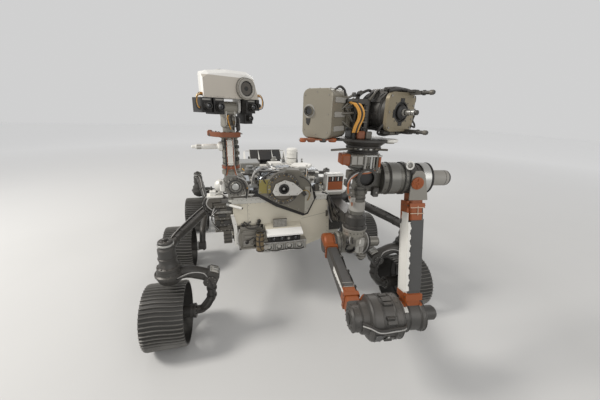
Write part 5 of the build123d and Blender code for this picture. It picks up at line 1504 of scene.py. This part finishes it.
wrist = Piece("wrist_fittings", "arm_wrist", TURRET)
bands(wrist, ((113, 96), (146, 92), (158, 98), (246, 98), (264, 98)))
studs(wrist, ((130, 96, 12), (257, 98, 18)))
port = ahead(0, -112, 26)
wrist.lathe([(0, -24), (40, -24), (40, -20), (24, -18), (0, -17)], BLACK, 48, port)
wrist.lathe([(43, -2), (46, 2), (54, 2), (58, -2), (58, -12), (54, -14)], FITTING, 48, port)
wrist.ring_bolts(port @ shift(0, 0, 1), 50, 12, 2.4, 3, DARK_BOLT)
bands(wrist, ((76, 81), (108, 103), (152, 98)), REST)
wrist.boxes((
    ((-128, -62, 131), (50, 84, 58), ORANGE, 5), ((-128, -106, 131), (38, 5, 44), RUST_TRAY, 2),
    ((-66, -96, 128), (78, 22, 62), CLUTTER, 4), ((-66, -108, 128), (62, 4, 46), GREY, 2),
    ((-66, -111, 128), (4, 3, 46), CLUTTER, 1),
))
wrist.bolts([ahead(x, -107, z) for x in (-100, -32) for z in (104, 152)], 2.6, 3, BOLT)
for k in range(6):
    x = -18 + 17 * k
    wrist.rod((x, -104 + 4 * (k % 2), 72), (x, -104 + 4 * (k % 2), 158), 5 if k % 2 else 6.5,
              (GREY, CLUTTER, ALLOY)[k % 3], 12)
wrist.boxes((
    ((26, -100, 152), (100, 18, 10), ALLOY, 2), ((26, -98, 80), (96, 16, 12), CLUTTER, 2),
    ((66, -96, 118), (14, 20, 60), ORANGE, 3),
))
for z, r in ((-230, 44), (-180, 44), (-120, 44), (-60, 52)):
    wrist.collar((r - 2, r + 3), (z - 4, z + 4), 1, FITTING, 40)
wrist.cap([(24, -240), (24, -246), (14, -250)], FITTING)
wrist.collar((45, 48), (-204, -140), 2, GREY, 40)
for x, z, w, h, finish in (
    (-86, 40, 40, 50, CLUTTER), (-98, -10, 30, 40, TUBE), (-76, -64, 36, 46, CLUTTER),
    (-60, -110, 30, 30, GREY), (76, -66, 34, 56, TUBE), (66, 60, 50, 22, CLUTTER),
):
    wrist.box((x, -62, z), (w, 44, h), finish, 4)
    wrist.bolts([ahead(x, -84, z)], 4, 5, BOLT)
for k, finish in enumerate((CABLE, PALE_CABLE, RUST_CABLE)):
    z = 76 - 9 * k
    wrist.wire([(60, -94, z + 20), (10, -104, z), (-50, -96, z - 10), (-96, -92, z - 50),
                (-92, -80, z - 120), (-60, -62, z - 190), (-46, -34, z - 220)], 5, finish)
wrist.lathe([(17, 0), (24, 0), (26, 3), (26, 8), (20, 10), (17, 8)], WHITE, 40,
            upright((270, -64, 92), (0, -1, 0.2)))
wrist.box((270, -44, 82), (34, 40, 34), GREY, 4)
wrist.rod((240, -70, 96), (262, -66, 96), 5, ALLOY)
wrist.done("dark_fitting")


# Arm: turret

turret = Piece("turret_fittings", "arm_turret", TURRET)
turret.collar((132.3, 140), (226, 240), 2, FITTING, 72)
turret.bolts([outward(97.5, math.pi * n / 10, 188) for n in range(20)], 3.2, 4, DARK_BOLT)
for x0, y0, x1, y1 in ((-217, -106, -74, -54), (56, -74, 104, -104)):
    turret.rod((x0, y0, 184), (x1, y1, 186), 6, CLUTTER, 12)
for k, x in enumerate((-72, -48, -22, 4, 40)):
    turret.box((x, -4 - math.sqrt(98 * 98 - x * x), 188), (16, 16, 10), ALLOY if k % 2 else CLUTTER, 2)
turret.prism([(-388, -128), (-364, -134), (-214, -126), (-188, -84), (-190, -20), (-260, -10), (-330, -50),
              (-384, -104)], 7, RUST_TRAY, shift(0, 0, 236))
for x, y, r, finish in (
    (-374, -116, 16, ORANGE), (-328, -108, 20, RUST_TRAY), (-266, -112, 17, FITTING),
    (-214, -104, 20, ORANGE),
):
    turret.cap([(r, 246), (r + 2, 242), (r + 2, 231), (r - 3, 226)], finish, 32, shift(x, y, 0))
turret.rod((-394, -122, 240), (-370, -116, 240), 5, ALLOY, 12)
turret.cap([(42, 242), (44, 238), (44, 229), (38, 225)], WHITE, 48, shift(126, -66, 0))
turret.cap([(26, 226), (26, 218)], GREY, 32, shift(126, -66, 0))
turret.boxes((
    ((-52, -80, 262), (44, 26, 44), RUST_TRAY, 6), ((-10, -84, 262), (34, 22, 40), CLUTTER, 4),
))
for x0, y0, z0, x1, y1, z1 in (
    (-196, -84, 372, -100, -60, 448), (-196, -92, 368, -98, -70, 376), (-190, -70, 352, -98, -56, 292),
    (-196, -60, 420, -104, -40, 462), (-150, -70, 410, -98, -60, 330),
):
    turret.rod((x0, y0, z0), (x1, y1, z1), 6, CLUTTER, 14)
for k, finish in enumerate((AMBER_CABLE, AMBER_CABLE, CABLE, AMBER_CABLE)):
    x = 9 * k
    turret.wire([(-128 + x, -76, 428 - 5 * k), (-108 + x, -98 - 2 * k, 418), (-86 + x, -104 - 2 * k, 384),
                 (-84 + x, -104, 348), (-96 + x, -98, 312), (-100 + x, -84, 276)], 5, finish, 10)
turret.box((-112, -70, 436), (60, 26, 16), FITTING, 4)
turret.lathe([(0, 0), (12, 0), (13, 10), (9, 22), (0, 24)], FITTING, 24, shift(-96, -40, 456))
for k in range(5):
    turret.box((-34, -70, 300 + 30 * k), (30 - 3 * k, 8, 8), CLUTTER if k % 2 else FITTING, 2)
turret.wires((
    (8, CABLE, (-60, 20, 450), (-20, 60, 480), (30, 90, 500), (60, 100, 490)),
    (7, CABLE, (-30, -60, 452), (0, -30, 474), (30, 0, 486), (60, 30, 490)),
    (6, CLUTTER, (-20, -72, 440), (10, -50, 470), (40, -10, 492), (76, 30, 500)),
))
turret.done("dark_fitting")

sensor = Piece("sensor_box_fittings", "arm_turret", SENSOR)
eye = ahead(-44, -104, 14)
sensor.lathe([(0, -8), (15, -8), (15, -5), (0, -4)], GLASS, 32, eye)
sensor.lathe([(16, -4), (23, -4), (24, 0), (22, 3), (17, 3), (16, 0)], FITTING, 32, eye)
sensor.lathe([(25, -14), (31, -13), (33, -11.5), (25, -11.5)], GREY, 40, eye)
sensor.prism([(-62, -22), (-34, -22), (-38, -44), (-46, -58), (-58, -48)], 3, BLACK,
             shift(0, -91, 0) @ FRONT)
sensor.bolts([ahead(x, -92, z) for x, z in (
    (-70, -80), (-70, 90), (66, 90), (66, 0), (66, -88), (0, -100), (0, 104))], 2.4, 2.6, TAUPE)
for z in (-70, 0, 70):
    for x in (87, -87):
        sensor.box((x, 0, z), (6, 120, 26), GREY, 2)
for x in (-79, 79):
    sensor.box((x, -86, 0), (5, 5, 170), TAUPE, 1)
sensor.box((0, 0, 122), (110, 120, 5), PALE_GREY, 2)
sensor.bolts([shift(x, y, 121) for x in (-60, 0, 60) for y in (-66, 66)], 3.4, 4, BOLT)
sensor.wire([(60, -20, 118), (76, 0, 134), (92, 20, 120), (98, 30, 92)], 6, CABLE)
sensor.done("grey_paint")

drill = Piece("drill_fittings", "arm_turret", DRILL)
drill.ring_bolts(shift(0, 0, 232), 62, 8, 2.6, 3, DARK_BOLT)
drill.lathe([(48.4, 231), (50, 233), (54, 233), (56, 231)], FITTING, 64)
drill.lathe([(48, 223), (47.6, 226), (40, 228), (34.2, 226)], BLACK, 64)
drill.lathe([(34.4, 226), (36, 238), (34.2, 241), (22, 247.5), (14.5, 247.5)], BLACK, 48)
for x, y, w, h in ((0, 58, 30, 22), (0, -58, 30, 22), (56, 0, 20, 34), (-54, -8, 16, 40)):
    drill.box((x, y, 232), (w, h, 5), BLACK, 4)
drill.bolts([shift(x, y, 232) for x, y in (
    (-84, -78), (84, -78), (-84, 78), (84, 78), (-90, 0), (92, -34), (92, 34))], 4.2, 4.5, BOLT)
for z in (26, 60, 100, 140, 166):
    drill.collar((101, 105), (z - 4, z + 4), 1, FITTING, 64)
for n in range(8):
    drill.box((104, 0, 112), (8, 30, 110), FITTING, 2, Matrix.Rotation(math.pi * n / 4 + 0.2, 4, "Z"))
for z0, z1, r, finish in (
    (247, 258, 17, GREY), (262, 296, 13.5, ALLOY), (300, 318, 15, ALLOY), (318, 329, 11, FITTING),
):
    drill.lathe([(11, z0), (r - 1.5, z0), (r, z0 + 2), (r, z1 - 2), (r - 1.5, z1), (11, z1)], finish)
for side in (1, -1):
    tip = shift(60, side * 96, 0)
    drill.collar((9, 13), (300, 314), 2, FITTING, 24, tip)
    drill.lathe([(9, 340), (12, 342), (12, 356), (9, 360)], CLUTTER, 24, tip)
    drill.box((60, side * 104, 236), (40, 16, 60), FITTING, 4)
    drill.wire([(30, side * 98, 60), (48, side * 116, 90), (64, side * 116, 150), (66, side * 104, 220)],
               5.5, CABLE)
rim = [(106 + 7 * math.sin(t * 9), -84 + 168 * t, 214 + 6 * math.cos(t * 7))
       for t in (k / 18 for k in range(19))]
drill.wire(rim, 6.5, CABLE, 5)
drill.wire([(x - 3, y, z - 15) for x, y, z in rim], 6, CLUTTER, 5)
drill.wire([(96, -70, 236), (112, -76, 244), (118, -60, 236), (112, -40, 226), (116, -10, 230),
            (110, 20, 228)], 5, CABLE)
crest = [(-86 + 176 * t, 101 + 10 * math.sin(t * 3.14), 214 + 8 * math.sin(t * 8))
         for t in (k / 14 for k in range(15))]
drill.wire(crest, 8, CABLE, 5)
drill.wire([(x, y + 8, z - 22) for x, y, z in crest], 8, FITTING, 5)
for x in (-50, -10, 30):
    drill.box((x, 112, 176), (30, 20, 50), FITTING, 5)
for x, y, finish in ((-70, -104, FITTING), (-20, -108, CLUTTER), (30, -106, TUBE)):
    drill.box((x, y, 196), (40, 16, 36), finish, 4)
drill.wire([(-96, -60, 214), (-108, -80, 200), (-100, -110, 180), (-60, -120, 186), (-20, -116, 190),
            (40, -114, 200)], 6, CABLE)
drill.done("dark_fitting")


# Lamps, world and floor

def lamp(name, place, aim, size, power, colour):
    """A soft square lamp that looks at a point."""
    data = bpy.data.lights.new(name, "AREA")
    data.size = size
    data.energy = power
    data.color = colour
    lamp_object = bpy.data.objects.new(name, data)
    lamp_object.location = place
    lamp_object.rotation_mode = "QUATERNION"
    lamp_object.rotation_quaternion = (Vector(aim) - Vector(place)).to_track_quat("-Z", "Y")
    bpy.context.scene.collection.objects.link(lamp_object)


lamp("key", (-6.4, -0.6, 6.2), (0, -0.4, 0.8), 1.8, 490, (1.0, 0.975, 0.93))
lamp("fill", (2.5, -8.0, 4.5), (0, -0.4, 0.9), 5.0, 165, (1.0, 0.99, 0.97))
lamp("rim", (3.5, 6.0, 5.0), (0, 0, 0.9), 3.0, 80, (1.0, 0.98, 0.95))

world = bpy.data.worlds.new("studio")
bpy.context.scene.world = world
world.use_nodes = True
world.node_tree.nodes["Background"].inputs["Color"].default_value = (0.93, 0.93, 0.93, 1)
world.node_tree.nodes["Background"].inputs["Strength"].default_value = 0.68

bpy.ops.mesh.primitive_plane_add(size=60, location=(0, 0, 0))
floor = bpy.context.object
floor.name = "floor"
floor_material, floor_tree, floor_shader = node_tree("floor_finish")
tint = mixed(floor_tree, noise(floor_tree, 0.8, 3.0), (0.54, 0.535, 0.525, 1), (0.57, 0.565, 0.555, 1))
floor_place = floor_tree.nodes.new("ShaderNodeTexCoord").outputs["Object"]
distance = vectors(floor_tree, "LENGTH", floor_place, (0, 0, 0))
far = spread(floor_tree, distance, 0.0, 1.0, 3.0, 14.0)
tint = mixed(floor_tree, far, tint, (0.97, 0.97, 0.97, 1))
floor_tree.links.new(tint, floor_shader.inputs["Base Color"])
floor_shader.inputs["Roughness"].default_value = 0.9
floor_shader.inputs["Specular IOR Level"].default_value = 0.1
floor.data.materials.append(floor_material)

bpy.context.scene.view_settings.view_transform = "Standard"
